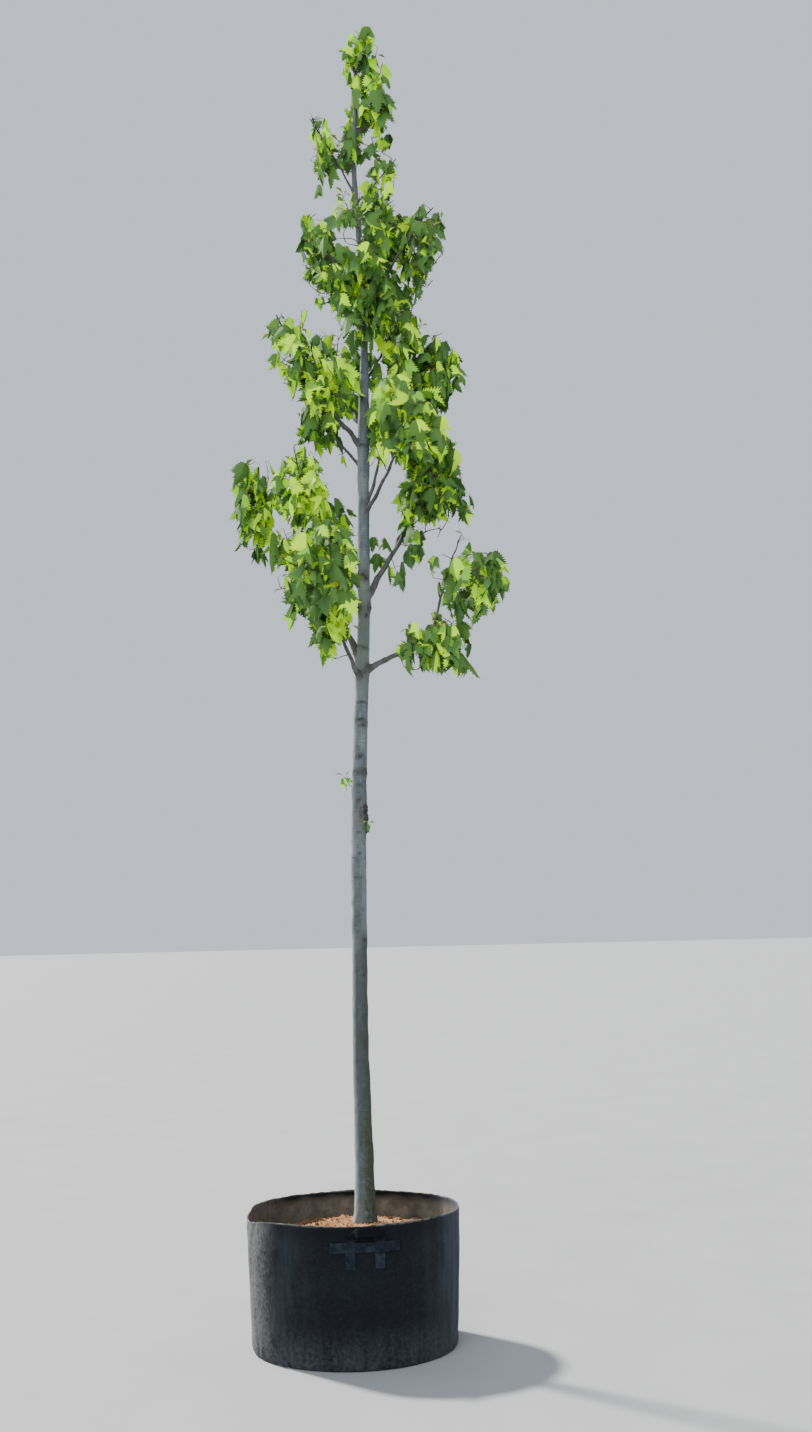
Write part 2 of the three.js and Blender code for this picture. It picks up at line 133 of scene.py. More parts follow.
# name: carried by, share along it or height, shift of the middle, half sizes
# (mm), number of twigs, share of its leaves painted sunlit (painted light)
MASSES = {
    "top": (None, 5296, (38, 1, 0), (110, 112, 150), 9, 0.45),
    "leader_upper": (None, 5030, (72, 34, 14), (124, 130, 149), 11, 0.4),
    "leader_left": (None, 4898, (-42, -45, -31), (59, 92, 103), 6, 0.15),
    "leader_right": ("tip_right", 0.75, (-12, -23, -92), (91, 110, 151), 8, 0.55),
    "top_left": ("top_left", 0.9, (27, 9, -129), (73, 96, 175), 9, 0.5),
    "upper_right": (None, 4528, (138, 58, 29), (113, 142, 160), 11, 0.3),
    "upper_left": (None, 4575, (-50, -42, -35), (63, 100, 115), 6, 0.5),
    "top_right": ("top_right", 0.9, (-4, 34, -130), (107, 132, 203), 14, 0.2),
    "high_left": ("high_left", 0.72, (-8, 3, -113), (117, 136, 219), 15, 0.45),
    "centre": ("high_front", 0.2, (8, -70, 150), (150, 128, 186), 14, 0.35),
    "high_front": ("high_front", 1, (9, 29, -46), (137, 140, 197), 12, 0.3),
    "far_upper_left": ("upper_left", 0.85, (1, -3, -67), (98, 122, 199), 15, 0.6),
    "inner_upper_left": ("upper_left", 0.5, (13, 18, 29), (101, 124, 193), 15, 0.45),
    "high_right": ("high_right", 0.93, (-10, -23, -111), (104, 134, 200), 14, 0.3),
    "high_right_inner": ("high_right", 0.5, (-3, -51, 159), (101, 128, 181), 12, 0.4),
    "upper_right_inner": ("upper_right", 0.93, (0, 0, -35), (81, 112, 179), 12, 0.6),
    "mid_right_upper": ("mid_right", 1, (-11, -40, 153), (135, 150, 172), 15, 0.45),
    "mid_right": ("mid_right", 0.95, (27, -60, -85), (167, 158, 167), 17, 0.35),
    "low_right": ("low_right", 0.92, (-19, 24, -4), (165, 148, 137), 15, 0.35),
    "low_right_upper": ("low_right_rise", 0.8, (49, 9, -106), (173, 150, 161), 15, 0.3),
    "inner_left": ("inner_left", 0.75, (-3, 4, -40), (102, 112, 124), 9, 0.5),
    "mid_left": ("mid_left_rise", 0.72, (4, -17, 16), (124, 136, 178), 17, 0.6),
    "far_left": ("far_left_rise", 0.62, (-8, 0, 31), (108, 136, 218), 16, 0.5),
    "mid_left_lower": ("far_left", 0.7, (9, -38, -37), (123, 142, 211), 17, 0.4),
    "low_left": ("low_left", 0.94, (4, 10, -10), (104, 118, 216), 14, 0.45),
    "low_front": ("low_front", 1, (5, 6, 18), (134, 132, 189), 12, 0.3),
    "mid_front": ("mid_front", 1, (6, 27, -31), (131, 142, 191), 12, 0.4),
    "low_back": ("low_back", 1, (4, -55, -68), (148, 165, 198), 15, 0.4),
    "mid_back": ("mid_back", 1, (-1, -30, -63), (149, 165, 199), 15, 0.4),
    "upper_back": ("upper_back", 1, (1, -22, -63), (139, 160, 199), 14, 0.4),
    "high_back": ("high_back", 1, (0, -33, -64), (139, 155, 199), 13, 0.4),
}

UP = np.array([0.0, 0.0, 1.0])

# ------------------------------------------------------------------ helpers


def smooth(x):
    x = np.clip(x, 0, 1)
    return x * x * (3 - 2 * x)


def mix(a, b, t):
    return a + (b - a) * t


def hump(x, w):
    return np.exp(-((x / w) ** 2))


def unit(v):
    v = np.asarray(v, float)
    return v / np.maximum(np.linalg.norm(v, axis=-1, keepdims=True), 1e-12)


def turn(a, b):
    """Distance between two compass directions, in degrees."""
    return np.abs((a - b + 540) % 360 - 180)


def seed_of(name):
    h = 2166136261
    for c in name:
        h = ((h ^ ord(c)) * 16777619) & 0xFFFFFFFF
    return h


class Waves:
    """Smooth repeatable noise: a sum of sine waves with seeded directions."""

    def __init__(self, seed, scale, count=14, dims=3):
        r = np.random.default_rng(seed)
        k = r.normal(size=(count, dims))
        k /= np.linalg.norm(k, axis=1, keepdims=True)
        self.k = k * (2 * math.pi / scale) * r.uniform(0.6, 1.7, (count, 1))
        self.p = r.uniform(0, 2 * math.pi, count)
        self.n = math.sqrt(2 / count)

    def __call__(self, *xyz):
        q = np.stack([np.asarray(c, float) for c in xyz], -1)
        return np.sin(q @ self.k.T + self.p).sum(-1) * self.n


def mesh_from(name, verts, tris=None, quads=None, smooth_shade=True):
    """A mesh object from arrays of triangles and quads."""
    verts = np.asarray(verts, np.float32).reshape(-1, 3)
    parts = []
    if tris is not None and len(tris):
        parts.append(np.asarray(tris, np.int32).reshape(-1, 3))
    if quads is not None and len(quads):
        parts.append(np.asarray(quads, np.int32).reshape(-1, 4))
    loops = np.concatenate([p.ravel() for p in parts])
    totals = np.concatenate([np.full(len(p), p.shape[1], np.int32) for p in parts])
    starts = np.concatenate([[0], np.cumsum(totals)[:-1]]).astype(np.int32)
    me = bpy.data.meshes.new(name)
    me.vertices.add(len(verts))
    me.vertices.foreach_set("co", verts.ravel())
    me.loops.add(len(loops))
    me.loops.foreach_set("vertex_index", loops)
    me.polygons.add(len(totals))
    me.polygons.foreach_set("loop_start", starts)
    me.polygons.foreach_set("loop_total", totals)
    me.update(calc_edges=True)
    me.polygons.foreach_set("use_smooth", np.full(len(totals), smooth_shade))
    me.validate()
    ob = bpy.data.objects.new(name, me)
    bpy.context.scene.collection.objects.link(ob)
    return ob


class Pile:
    """Gathers many small meshes into one."""

    def __init__(self):
        self.v, self.t, self.q, self.n = [], [], [], 0
        self.marks = []

    def add(self, verts, tris=None, quads=None, marks=(0, 0, 0)):
        verts = np.asarray(verts, float).reshape(-1, 3)
        self.v.append(verts)
        self.marks.append(np.broadcast_to(np.asarray(marks, np.float32), (len(verts), 3)))
        if tris is not None and len(tris):
            self.t.append(np.asarray(tris) + self.n)
        if quads is not None and len(quads):
            self.q.append(np.asarray(quads) + self.n)
        self.n += len(verts)

    def make(self, name, smooth_shade=True):
        return mesh_from(
            name,
            np.concatenate(self.v),
            np.concatenate(self.t) if self.t else None,
            np.concatenate(self.q) if self.q else None,
            smooth_shade,
        )

    def mark(self, ob, names):
        """Writes the marks as one attribute each: how dark, how brown, limb."""
        m = np.concatenate(self.marks)
        for i, name in enumerate(names):
            at = ob.data.attributes.new(name, "FLOAT", "POINT")
            at.data.foreach_set("value", np.ascontiguousarray(m[:, i]))

    def triangles(self):
        return sum(len(t) for t in self.t) + 2 * sum(len(q) for q in self.q)


def grid_quads(rings, sides):
    """Quads of a tube of rings x sides vertices, closed round the sides."""
    i = np.arange(rings - 1)[:, None] * sides
    j = np.arange(sides)[None, :]
    k = (j + 1) % sides
    return np.stack([i + j, i + k, i + sides + k, i + sides + j], -1).reshape(-1, 4)


def frames_along(points):
    """Tangents and two steady normals along a polyline."""
    t = np.gradient(points, axis=0)
    t = unit(t)
    ref = np.array([1.0, 0, 0]) if abs(t[0][0]) < 0.8 else np.array([0, 1.0, 0])
    a = unit(ref - t[0] * (ref @ t[0]))
    side = [a]
    for k in range(1, len(points)):
        a = a - t[k] * (a @ t[k])
        a = unit(a)
        side.append(a)
    side = np.array(side)
    return t, side, np.cross(t, side)


def tube(points, radii, sides, closed=True, relief=None):
    """A round tube along points; relief(ring, angle) scales its radius."""
    points = np.asarray(points, float)
    radii = np.asarray(radii, float)
    t, a, b = frames_along(points)
    ang = np.arange(sides) * 2 * math.pi / sides
    r = radii[:, None] * np.ones(sides)[None, :]
    if relief is not None:
        r = r * relief
    ring = (
        points[:, None, :]
        + r[..., None] * (np.cos(ang)[None, :, None] * a[:, None, :] + np.sin(ang)[None, :, None] * b[:, None, :])
    )
    verts = ring.reshape(-1, 3)
    quads = grid_quads(len(points), sides)
    tris = None
    if closed:
        n = len(points) * sides
        verts = np.concatenate([verts, points[:1] - t[:1] * radii[0] * 0.4, points[-1:] + t[-1:] * radii[-1] * 0.9])
        j = np.arange(sides)
        k = (j + 1) % sides
        last = (len(points) - 1) * sides
        tris = np.concatenate(
            [np.stack([k, j, np.full(sides, n)], -1), np.stack([last + j, last + k, np.full(sides, n + 1)], -1)]
        )
    return verts, tris, quads


# ---------------------------------------------------------------- materials


# How much stronger the lamps are than the light that the tints were matched
# under: a tint is set at this much less, and only bright leaves keep all of it.
LIGHT = 1.15


class Shader:
    """A small wrapper round one material's node tree."""

    def __init__(self, name, rough=0.6):
        self.m = bpy.data.materials.new(name)
        self.m.use_nodes = True
        self.t = self.m.node_tree
        self.b = self.t.nodes["Principled BSDF"]
        self.b.inputs["Roughness"].default_value = rough
        self.co = self.t.nodes.new("ShaderNodeTexCoord").outputs["Object"]

    def node(self, kind, **values):
        n = self.t.nodes.new(kind)
        for k, v in values.items():
            setattr(n, k, v)
        return n

    def link(self, a, b):
        self.t.links.new(a, b)

    def mapped(self, scale=(1, 1, 1), rotation=(0, 0, 0), location=(0, 0, 0)):
        n = self.node("ShaderNodeMapping")
        n.inputs["Scale"].default_value = scale
        n.inputs["Rotation"].default_value = rotation
        n.inputs["Location"].default_value = location
        self.link(self.co, n.inputs["Vector"])
        return n.outputs["Vector"]

    def noise(self, scale, detail=4, rough=0.55, distort=0.0, at=None, kind="FBM"):
        n = self.node("ShaderNodeTexNoise")
        n.inputs["Scale"].default_value = scale
        n.inputs["Detail"].default_value = detail
        n.inputs["Roughness"].default_value = rough
        n.inputs["Distortion"].default_value = distort
        self.link(at or self.co, n.inputs["Vector"])
        return n.outputs["Fac"]

    def voronoi(self, scale, feature="F1", at=None, rand=1.0):
        n = self.node("ShaderNodeTexVoronoi", feature=feature)
        n.inputs["Scale"].default_value = scale
        n.inputs["Randomness"].default_value = rand
        self.link(at or self.co, n.inputs["Vector"])
        return n.outputs["Distance"]

    def wave(self, scale, distortion=0.0, axis="Z", at=None, detail=2, profile="SIN"):
        n = self.node("ShaderNodeTexWave", bands_direction=axis, wave_profile=profile)
        n.inputs["Scale"].default_value = scale
        n.inputs["Distortion"].default_value = distortion
        n.inputs["Detail"].default_value = detail
        self.link(at or self.co, n.inputs["Vector"])
        return n.outputs["Fac"]

    def ramp(self, fac, stops, mode="LINEAR"):
        n = self.node("ShaderNodeValToRGB")
        n.color_ramp.interpolation = mode
        e = n.color_ramp.elements
        while len(e) < len(stops):
            e.new(0.5)
        for s, (p, c) in zip(e, stops):
            s.position = p
            s.color = (*c, 1) if len(c) == 3 else c
        self.link(fac, n.inputs["Fac"])
        return n.outputs["Color"]

    def remap(self, fac, a, b, lo=0.0, hi=1.0):
        n = self.node("ShaderNodeMapRange", clamp=True)
        n.inputs["From Min"].default_value = a
        n.inputs["From Max"].default_value = b
        n.inputs["To Min"].default_value = lo
        n.inputs["To Max"].default_value = hi
        self.link(fac, n.inputs["Value"])
        return n.outputs["Result"]

    def math(self, op, a, b=None):
        n = self.node("ShaderNodeMath", operation=op)
        for i, x in enumerate((a, b)):
            if x is None:
                continue
            if isinstance(x, (int, float)):
                n.inputs[i].default_value = x
            else:
                self.link(x, n.inputs[i])
        return n.outputs[0]

    def mixc(self, fac, a, b, mode="MIX"):
        n = self.node("ShaderNodeMix", data_type="RGBA", blend_type=mode)
        if isinstance(fac, (int, float)):
            n.inputs["Factor"].default_value = fac
        else:
            self.link(fac, n.inputs["Factor"])
        for k, x in ((6, a), (7, b)):
            if isinstance(x, tuple):
                n.inputs[k].default_value = (*x, 1)
            else:
                self.link(x, n.inputs[k])
        return n.outputs[2]

    def xyz(self, at=None):
        n = self.node("ShaderNodeSeparateXYZ")
        self.link(at or self.co, n.inputs["Vector"])
        return n.outputs

    def bump(self, height, strength=0.3, distance=0.001, normal=None):
        n = self.node("ShaderNodeBump")
        n.inputs["Strength"].default_value = strength
        n.inputs["Distance"].default_value = distance
        self.link(height, n.inputs["Height"])
        if normal is not None:
            self.link(normal, n.inputs["Normal"])
        return n.outputs["Normal"]

    def colour(self, c, share=1 / LIGHT):
        if isinstance(c, tuple):
            self.b.inputs["Base Color"].default_value = (*(share * x for x in c), 1)
        else:
            self.link(self.mixc(1.0, c, (share, share, share), "MULTIPLY"), self.b.inputs["Base Color"])

    def rough(self, r):
        self.link(r, self.b.inputs["Roughness"])

    def normal(self, n):
        self.link(n, self.b.inputs["Normal"])


def finish_piece(ob, shader, slot, *nodes):
    ob.data.materials.clear()
    ob.data.materials.append(shader.m)
    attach(ob, "root")
    if nodes:
        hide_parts(*nodes)
    return ob


# ---------------------------------------------------------------- the camera

cam_data = bpy.data.cameras.new("camera")
cam_data.sensor_fit = "AUTO"
cam_data.sensor_width = 36
cam_data.lens = 1498.1 / 1432 * 36
cam_data.clip_end = 1500
camera = bpy.data.objects.new("camera", cam_data)
bpy.context.scene.collection.objects.link(camera)
CAM_AT = np.array([0.242, -6.012, 1.51])
CAM_PITCH = math.radians(8.609)
CAM_ROLL = math.radians(1.3)
camera.location = CAM_AT
look = Vector((0, math.cos(CAM_PITCH), math.sin(CAM_PITCH)))
turned = look.to_track_quat("-Z", "Y").to_matrix().to_4x4()
from mathutils import Matrix

camera.rotation_euler = (turned @ Matrix.Rotation(-CAM_ROLL, 4, "Z")).to_euler()
bpy.context.scene.camera = camera


def seen(p):
    """Where points fall in the 812 x 1432 frame of the main view."""
    d = np.asarray(p, float) - CAM_AT
    c, s = math.cos(CAM_PITCH), math.sin(CAM_PITCH)
    zc = d[..., 1] * c + d[..., 2] * s
    v = -d[..., 1] * s + d[..., 2] * c
    u = 1498.1 * d[..., 0] / zc
    w = 1498.1 * v / zc
    c, s = math.cos(CAM_ROLL), math.sin(CAM_ROLL)
    return np.stack([406 + u * c - w * s, 716 - (u * s + w * c)], -1)


# ------------------------------------------------------------ trunk and limbs

TZ, TX, TR = TRUNK.T


def trunk_axis(z):
    z = np.asarray(z, float)
    x = np.interp(z, TZ, TX)
    # round the corners between stations
    for d in (0.06, 0.12):
        x = (x * 2 + np.interp(z - d, TZ, TX) + np.interp(z + d, TZ, TX)) / 4
    y = 0.009 * np.sin((z - TZ[0]) / 0.78)
    return np.stack([x, y, z], -1)


def limb_axis(name):
    parent, where, az, reach, climb, bow, radius = BOUGHS[name]
    start = trunk_axis(where / 1000) if parent is None else limb_axis(parent)(where)
    r = np.random.default_rng(seed_of(name))
    kinks = Waves(seed_of(name), 0.8, 6, 1)
    size = 0.0045 * math.hypot(reach, climb) / 1000
    c, s = math.cos(math.radians(az)), math.sin(math.radians(az))
    weave = r.uniform(-0.05, 0.05) * reach / 1000

    def at(t):
        t = np.asarray(t, float)
        out = reach / 1000 * t
        aside = weave * np.sin(math.pi * t) + size * kinks(t * 3.0) * smooth(t * 5)
        up = climb / 1000 * (t + bow * (t * t - t)) + size * 0.6 * kinks(t * 3.0 + 7) * smooth(t * 5)
        return np.stack([start[0] + out * c - aside * s, start[1] + out * s + aside * c, start[2] + up], -1)

    return at


def limb_radius(name, t):
    r = BOUGHS[name][6] / 1000
    tip = max(0.0022, 0.3 * r)
    return mix(r, tip, t**0.8)


# knots and scars on the trunk: height, azimuth, half width, half height, how
# far the rim stands out, depth of the middle (mm)
KNOTS = [
    (3.005, 262, 17, 20, 4.0, 3.5),
    (2.990, 300, 11, 11, 2.5, 2.5),
    (3.020, 200, 12, 14, 3.0, 1.5),
    (2.868, 215, 14, 17, 4.2, 2.5),
    (2.872, 338, 14, 16, 5.5, 1.0),
    (2.835, 296, 9, 12, 2.2, 3.8),
    (2.700, 285, 20, 7, 1.6, 0.6),
    (2.600, 300, 16, 12, 2.2, 1.2),
    (2.408, 270, 19, 9, 2.4, 2.6),
    (2.384, 292, 18, 9, 2.2, 2.4),
    (2.258, 274, 17, 12, 2.6, 2.4),
    (2.194, 276, 26, 14, 3.2, 0.6),
    (2.192, 330, 18, 13, 3.4, 1.0),
    (2.120, 190, 8, 8, 2.6, 1.4),
    (2.140, 268, 11, 8, 1.8, 2.4),
    (2.112, 270, 6, 5, 1.0, 1.6),
    (2.082, 266, 10, 9, 2.0, 2.0),
    (2.030, 318, 19, 24, 9.0, 4.5),
    (2.002, 342, 15, 17, 9.5, 3.5),
    (2.052, 330, 12, 14, 5.0, 2.0),
    (1.952, 274, 12, 5, 1.1, 1.3),
    (1.870, 272, 7, 4, 0.8, 1.4),
    (1.675, 186, 10, 11, 2.6, 1.4),
    (1.644, 305, 8, 5, 0.9, 1.5),
    (1.600, 268, 9, 5, 0.9, 1.5),
    (1.560, 262, 6, 4, 0.6, 1.2),
    (1.526, 312, 12, 10, 3.2, 2.6),
    (1.423, 290, 5, 5, 0.8, 1.0),
    (1.388, 300, 12, 9, 2.4, 2.2),
    (1.270, 302, 12, 4, 0.9, 1.3),
    (1.113, 303, 8, 5, 0.9, 1.5),
    (0.918, 330, 10, 7, 1.6, 1.2),
    (0.860, 205, 7, 5, 0.9, 0.8),
    # the far side
    (2.760, 95, 14, 14, 3.2, 2.2),
    (2.520, 60, 11, 9, 2.0, 1.6),
    (2.300, 110, 15, 17, 5.0, 3.0),
    (1.930, 80, 9, 8, 1.8, 1.4),
    (1.740, 40, 8, 7, 1.4, 1.2),
    (1.470, 120, 10, 9, 2.2, 1.6),
    (1.180, 70, 8, 6, 1.0, 1.0),
    (3.240, 150, 9, 9, 1.8, 1.4),
    (3.420, 285, 8, 5, 1.2, 1.0),
    (3.330, 262, 8, 3, 0.8, 0.6),
    (3.560, 250, 10, 9, 2.0, 1.2),
    (3.700, 300, 8, 8, 1.8, 1.4),
    (3.880, 240, 8, 8, 2.0, 1.2),
]
# thin rings left by each year's end bud: height, how far they stand out (mm)
RINGS = [(0.78, 0.5), (1.05, 0.6), (1.30, 0.6), (1.762, 1.0), (1.838, 1.5), (2.19, 0.8), (2.395, 1.0)]
RINGS += [(2.47, 1.6), (2.565, 0.8), (2.70, 1.0), (2.93, 1.0), (3.12, 0.8), (3.30, 0.8), (3.55, 0.9)]
RINGS += [(3.80, 0.8), (4.10, 0.6), (4.42, 0.6), (4.70, 0.5), (4.98, 0.4), (5.2, 0.3)]


def trunk_mesh():
    z = np.concatenate(
        [np.arange(0.440, 0.60, 0.006), np.arange(0.60, 1.2, 0.010), np.arange(1.2, 3.9, 0.0065), np.arange(3.9, 5.40, 0.012)]
    )
    sides = 60
    az = np.arange(sides) * 360 / sides
    axis = trunk_axis(z)
    base = np.interp(z, TZ, TR)
    for d in (0.05,):
        base = (base * 2 + np.interp(z - d, TZ, TR) + np.interp(z + d, TZ, TR)) / 4
    base = np.where(z < 0.56, np.interp(z, TZ, TR), base)
    Z, A = np.meshgrid(z, az, indexing="ij")
    R = base[:, None] * np.ones_like(A)
    ca, sa = np.cos(np.radians(A)), np.sin(np.radians(A))
    # out of round, slow swellings and a fluted foot
    w1, w2, w3 = Waves(3, 1.0, 12), Waves(4, 0.16, 16), Waves(5, 0.045, 20)
    R *= 1 + 0.03 * w1(ca * 0.15, sa * 0.15, Z)
    R += 0.0007 * w2(ca * 0.05, sa * 0.05, Z) + 0.00025 * w3(ca * 0.05, sa * 0.05, Z)
    dark, brown = np.zeros_like(R), np.zeros_like(R)
    foot = hump(Z - 0.449, 0.045)
    R += foot * 0.0045 * (0.5 + 0.5 * np.cos(np.radians(5 * A + 30 + 20 * np.sin(np.radians(2 * A)))))
    for h, out in RINGS:
        wob = 0.0035 * np.sin(np.radians(A + 900 * h)) + 0.002 * np.sin(np.radians(3 * A + 300 * h))
        R += out / 1000 * (hump(Z - h - wob, 0.0045) - 0.8 * hump(Z - h - wob - 0.009, 0.003))
        part = 0.55 + 0.45 * np.sin(np.radians(A * 2 + 2000 * h))
        dark += 0.75 * min(out, 1.35) * part * hump(Z - h - wob - 0.008, 0.0046)
    for h, a, wide, tall, out, deep in KNOTS:
        da = (A - a + 540) % 360 - 180
        d2 = (np.radians(da) * base[:, None] / (wide / 1000)) ** 2 + ((Z - h) / (tall / 1000)) ** 2
        rag = 1 + 0.25 * w3(ca * 0.09, sa * 0.09, Z * 1.5)
        R += out / 1000 * np.exp(-d2) * rag - (out + deep) / 1000 * np.exp(-d2 / 0.13) * 0.75
        R += 0.28 * out / 1000 * np.exp(-(((np.sqrt(d2) - 1.35) / 0.22) ** 2))
        dark += min(1.0, 0.35 + deep / 3.2) * np.exp(-((d2 / 0.5) ** 1.5)) * rag
        dark += min(0.6, 0.10 * out) * np.exp(-(((np.sqrt(d2) - 1.15) / 0.2) ** 2)) * rag
        brown += min(1.0, out / 4.5) * np.exp(-d2 / 3.5)
    # collars below the limbs
    for name, (parent, where, azb, reach, climb, bow, rad) in BOUGHS.items():
        if parent is not None:
            continue
        h = where / 1000 + 0.012
        da = (A - azb + 540) % 360 - 180
        s = max(rad, 5) / 1000
        x = np.radians(da) * base[:, None] / (1.5 * s)
        y = (Z - h) / np.where(Z > h, 1.7 * s, 3.2 * s)
        R += 0.42 * s * np.exp(-(x * x + y * y))
        # folded bark above the joint
        R += 0.08 * s * np.exp(-(x * x)) * (hump(Z - h - 2.1 * s, 0.35 * s) + 0.6 * hump(Z - h - 2.9 * s, 0.3 * s))
        dark += 0.6 * np.exp(-(x * x)) * hump(Z - h - 1.5 * s - 0.3 * s * x * x, 0.22 * s)
        brown += 0.5 * np.exp(-(x * x + y * y) / 2)
    P = np.stack([axis[:, None, 0] + R * ca, axis[:, None, 1] + R * sa, Z], -1)
    verts = P.reshape(-1, 3)
    n = len(verts)
    verts = np.concatenate([verts, [axis[0]], [trunk_axis(5.405)]])
    j = np.arange(sides)
    k = (j + 1) % sides
    last = (len(z) - 1) * sides
    tris = np.concatenate([np.stack([k, j, np.full(sides, n)], -1), np.stack([last + j, last + k, np.full(sides, n + 1)], -1)])
    marks = np.stack([dark.ravel(), brown.ravel(), np.zeros(dark.size)], -1)
    marks = np.concatenate([np.clip(marks, 0, 1), np.zeros((2, 3))])
    return verts, tris, grid_quads(len(z), sides), marks


bark = Pile()
bark.add(*trunk_mesh())
LIMB_POINTS = {}
for name in BOUGHS:
    parent, where, az, reach, climb, bow, rad = BOUGHS[name]
    at = limb_axis(name)
    length = math.hypot(reach, climb) / 1000
    n = max(18, int(length / 0.008))
    t = np.linspace(0, 1, n)
    pts = at(t)
    r = limb_radius(name, t)
    s = np.concatenate([[0], np.cumsum(np.linalg.norm(np.diff(pts, axis=0), axis=1))])
    own = rad / 1000
    if parent is None:
        core = np.interp(where / 1000, TZ, TR)
        gap = np.hypot(pts[:, 0] - trunk_axis(pts[:, 2])[:, 0], pts[:, 1] - trunk_axis(pts[:, 2])[:, 1]) - core
        r = r * (1 + 0.55 * np.exp(-np.maximum(gap, 0) / (1.3 * own)))
    else:
        r = r * (1 + 0.35 * np.exp(-s / (2.5 * own)))
    # thick joints where leaf pairs once grew, and a knobbly surface
    rng = np.random.default_rng(seed_of(name) + 1)
    pos = 0.05
    dark = np.zeros_like(s)
    while pos < s[-1]:
        r = r * (1 + rng.uniform(0.06, 0.2) * hump(s - pos, 0.006) + 0.05 * hump(s - pos - 0.011, 0.003))
        dark += rng.uniform(0.2, 0.8) * hump(s - pos - 0.007, 0.0045)
        pos += rng.uniform(0.035, 0.085)
    sides = 20 if own > 0.009 else 14
    rough = Waves(seed_of(name) + 2, 0.03, 16, 3)
    ang = np.arange(sides) * 2 * math.pi / sides
    S, A = np.meshgrid(s, ang, indexing="ij")
    relief = 1 + 0.05 * rough(S, np.cos(A) * 0.012, np.sin(A) * 0.012)
    dark = np.clip(dark, 0, 1)[:, None] * (0.6 + 0.4 * np.cos(A + 3 * pos))
    away = smooth(s / 0.05)[:, None] * np.ones_like(A)
    marks = np.stack([dark.ravel(), np.zeros(dark.size), away.ravel()], -1)
    v, f, q = tube(pts, r, sides, relief=relief)
    bark.add(v, f, q, np.concatenate([marks, [[0, 0, 0], [0, 0, 1]]]))
    LIMB_POINTS[name] = (pts, r)

# ------------------------------------------------------------------ foliage
#
# Every mass is grown: twigs reach from the limb that carries it towards seeded
# places inside the mass, each starting at the nearest wood already there, and
# carry pairs of leaves that hang from their stalks.

# windows of the main view that the photograph shows as open sky or bare trunk:
# left, right, top, bottom in its pixels
WINDOWS = [
    (329, 344, 118, 142),
    (368, 380, 134, 152),
    (339, 347, 170, 180),
    (323, 333, 184, 200),
    (351, 364, 180, 246),
    (390, 399, 206, 226),
    (334, 354, 226, 250),
    (308, 334, 308, 322),
    (322, 339, 312, 342),
    (337, 344, 320, 360),
    (283, 293, 352, 364),
    (319, 332, 448, 464),
    (331, 357, 464, 476),
    (326, 356, 476, 506),
    (359, 366, 340, 440),
    (356, 368, 440, 545),
    (357, 368, 560, 690),
    (370, 405, 464, 492),
    (371, 396, 492, 531),
    (424, 439, 533, 547),
    (412, 441, 547, 561),
    (415, 430, 561, 589),
    (434, 443, 561, 589),
    (441, 461, 512, 550),
    (369, 388, 553, 585),
    (381, 402, 575, 592),
    (373, 428, 592, 604),
    (372, 410, 604, 617),
    (371, 418, 617, 631),
    (370, 405, 631, 645),
    (369, 391, 645, 659),
    (340, 354, 640, 678),
    (386, 402, 655, 690),
    (404, 446, 669, 690),
    (387, 407, 180, 212),
    (303, 317, 281, 308),
    (344, 359, 236, 256),
    (431, 443, 319, 341),
    (307, 323, 212, 228),
    (282, 297, 352, 369),
    (321, 333, 291, 313),
    (333, 351, 168, 186),
    (387, 402, 116, 136),
    (312, 328, 446, 460),
    (329, 343, 347, 366),
    (455, 471, 581, 593),
    (362, 375, 123, 141),
    (277, 294, 307, 321),
    (289, 299, 387, 402),
    (277, 286, 374, 389),
    (291, 302, 251, 267),
    (289, 301, 529, 543),
    (421, 431, 278, 293),
    (327, 342, 180, 192),
    (437, 466, 536, 561),
    (271, 286, 562, 606),
    (410, 432, 519, 534),
    (395, 412, 459, 482),
    (440, 454, 508, 525),
    (338, 357, 640, 680),
]
# the crown's own left and right edge in that view, where no other plant hides it
OUTLINE = np.array(
    [
        [14, 350, 372],
        [26, 349, 374],
        [36, 343, 378],
        [50, 341, 382],
        [78, 338, 388],
        [106, 346, 391],
        [117, 322, 391],
        [124, 308, 392],
        [148, 313, 400],
        [162, 314, 390],
        [176, 314, 386],
        [190, 314, 388],
        [200, 322, 402],
        [210, 324, 432],
        [218, 308, 442],
        [232, 298, 446],
        [246, 298, 442],
        [260, 300, 432],
        [288, 309, 422],
        [303, 314, 409],
        [309, 290, 412],
        [322, 269, 420],
        [344, 270, 452],
        [366, 274, 463],
        [386, 285, 465],
        [402, 299, 460],
        [414, 300, 442],
        [430, 296, 443],
        [444, 270, 448],
        [470, 228, 470],
        [500, 226, 476],
        [512, 228, 473],
        [530, 232, 462],
        [548, 236, 470],
        [560, 252, 508],
        [576, 278, 508],
        [590, 281, 508],
        [604, 284, 492],
        [640, 300, 472],
        [660, 318, 474],
        [690, 330, 470],
    ]
)
CLEAR_BELOW = 682


class Twig:
    __slots__ = ("pts", "parent", "load", "mass", "base_dir")

    def __init__(self, pts, parent, mass):
        self.pts, self.parent, self.load, self.mass = pts, parent, 1, mass


twigs = []
leaf_sites = []  # place, direction of the twig, azimuth turn, size, kind, mass


def on_limb(name):
    pts, r = LIMB_POINTS[name]
    return pts


def mass_centre(m):
    limb, where, off, size, count, sun = MASSES[m]
    on = trunk_axis(where / 1000) if limb is None else limb_axis(limb)(where)
    return on + np.array(off) / 1000


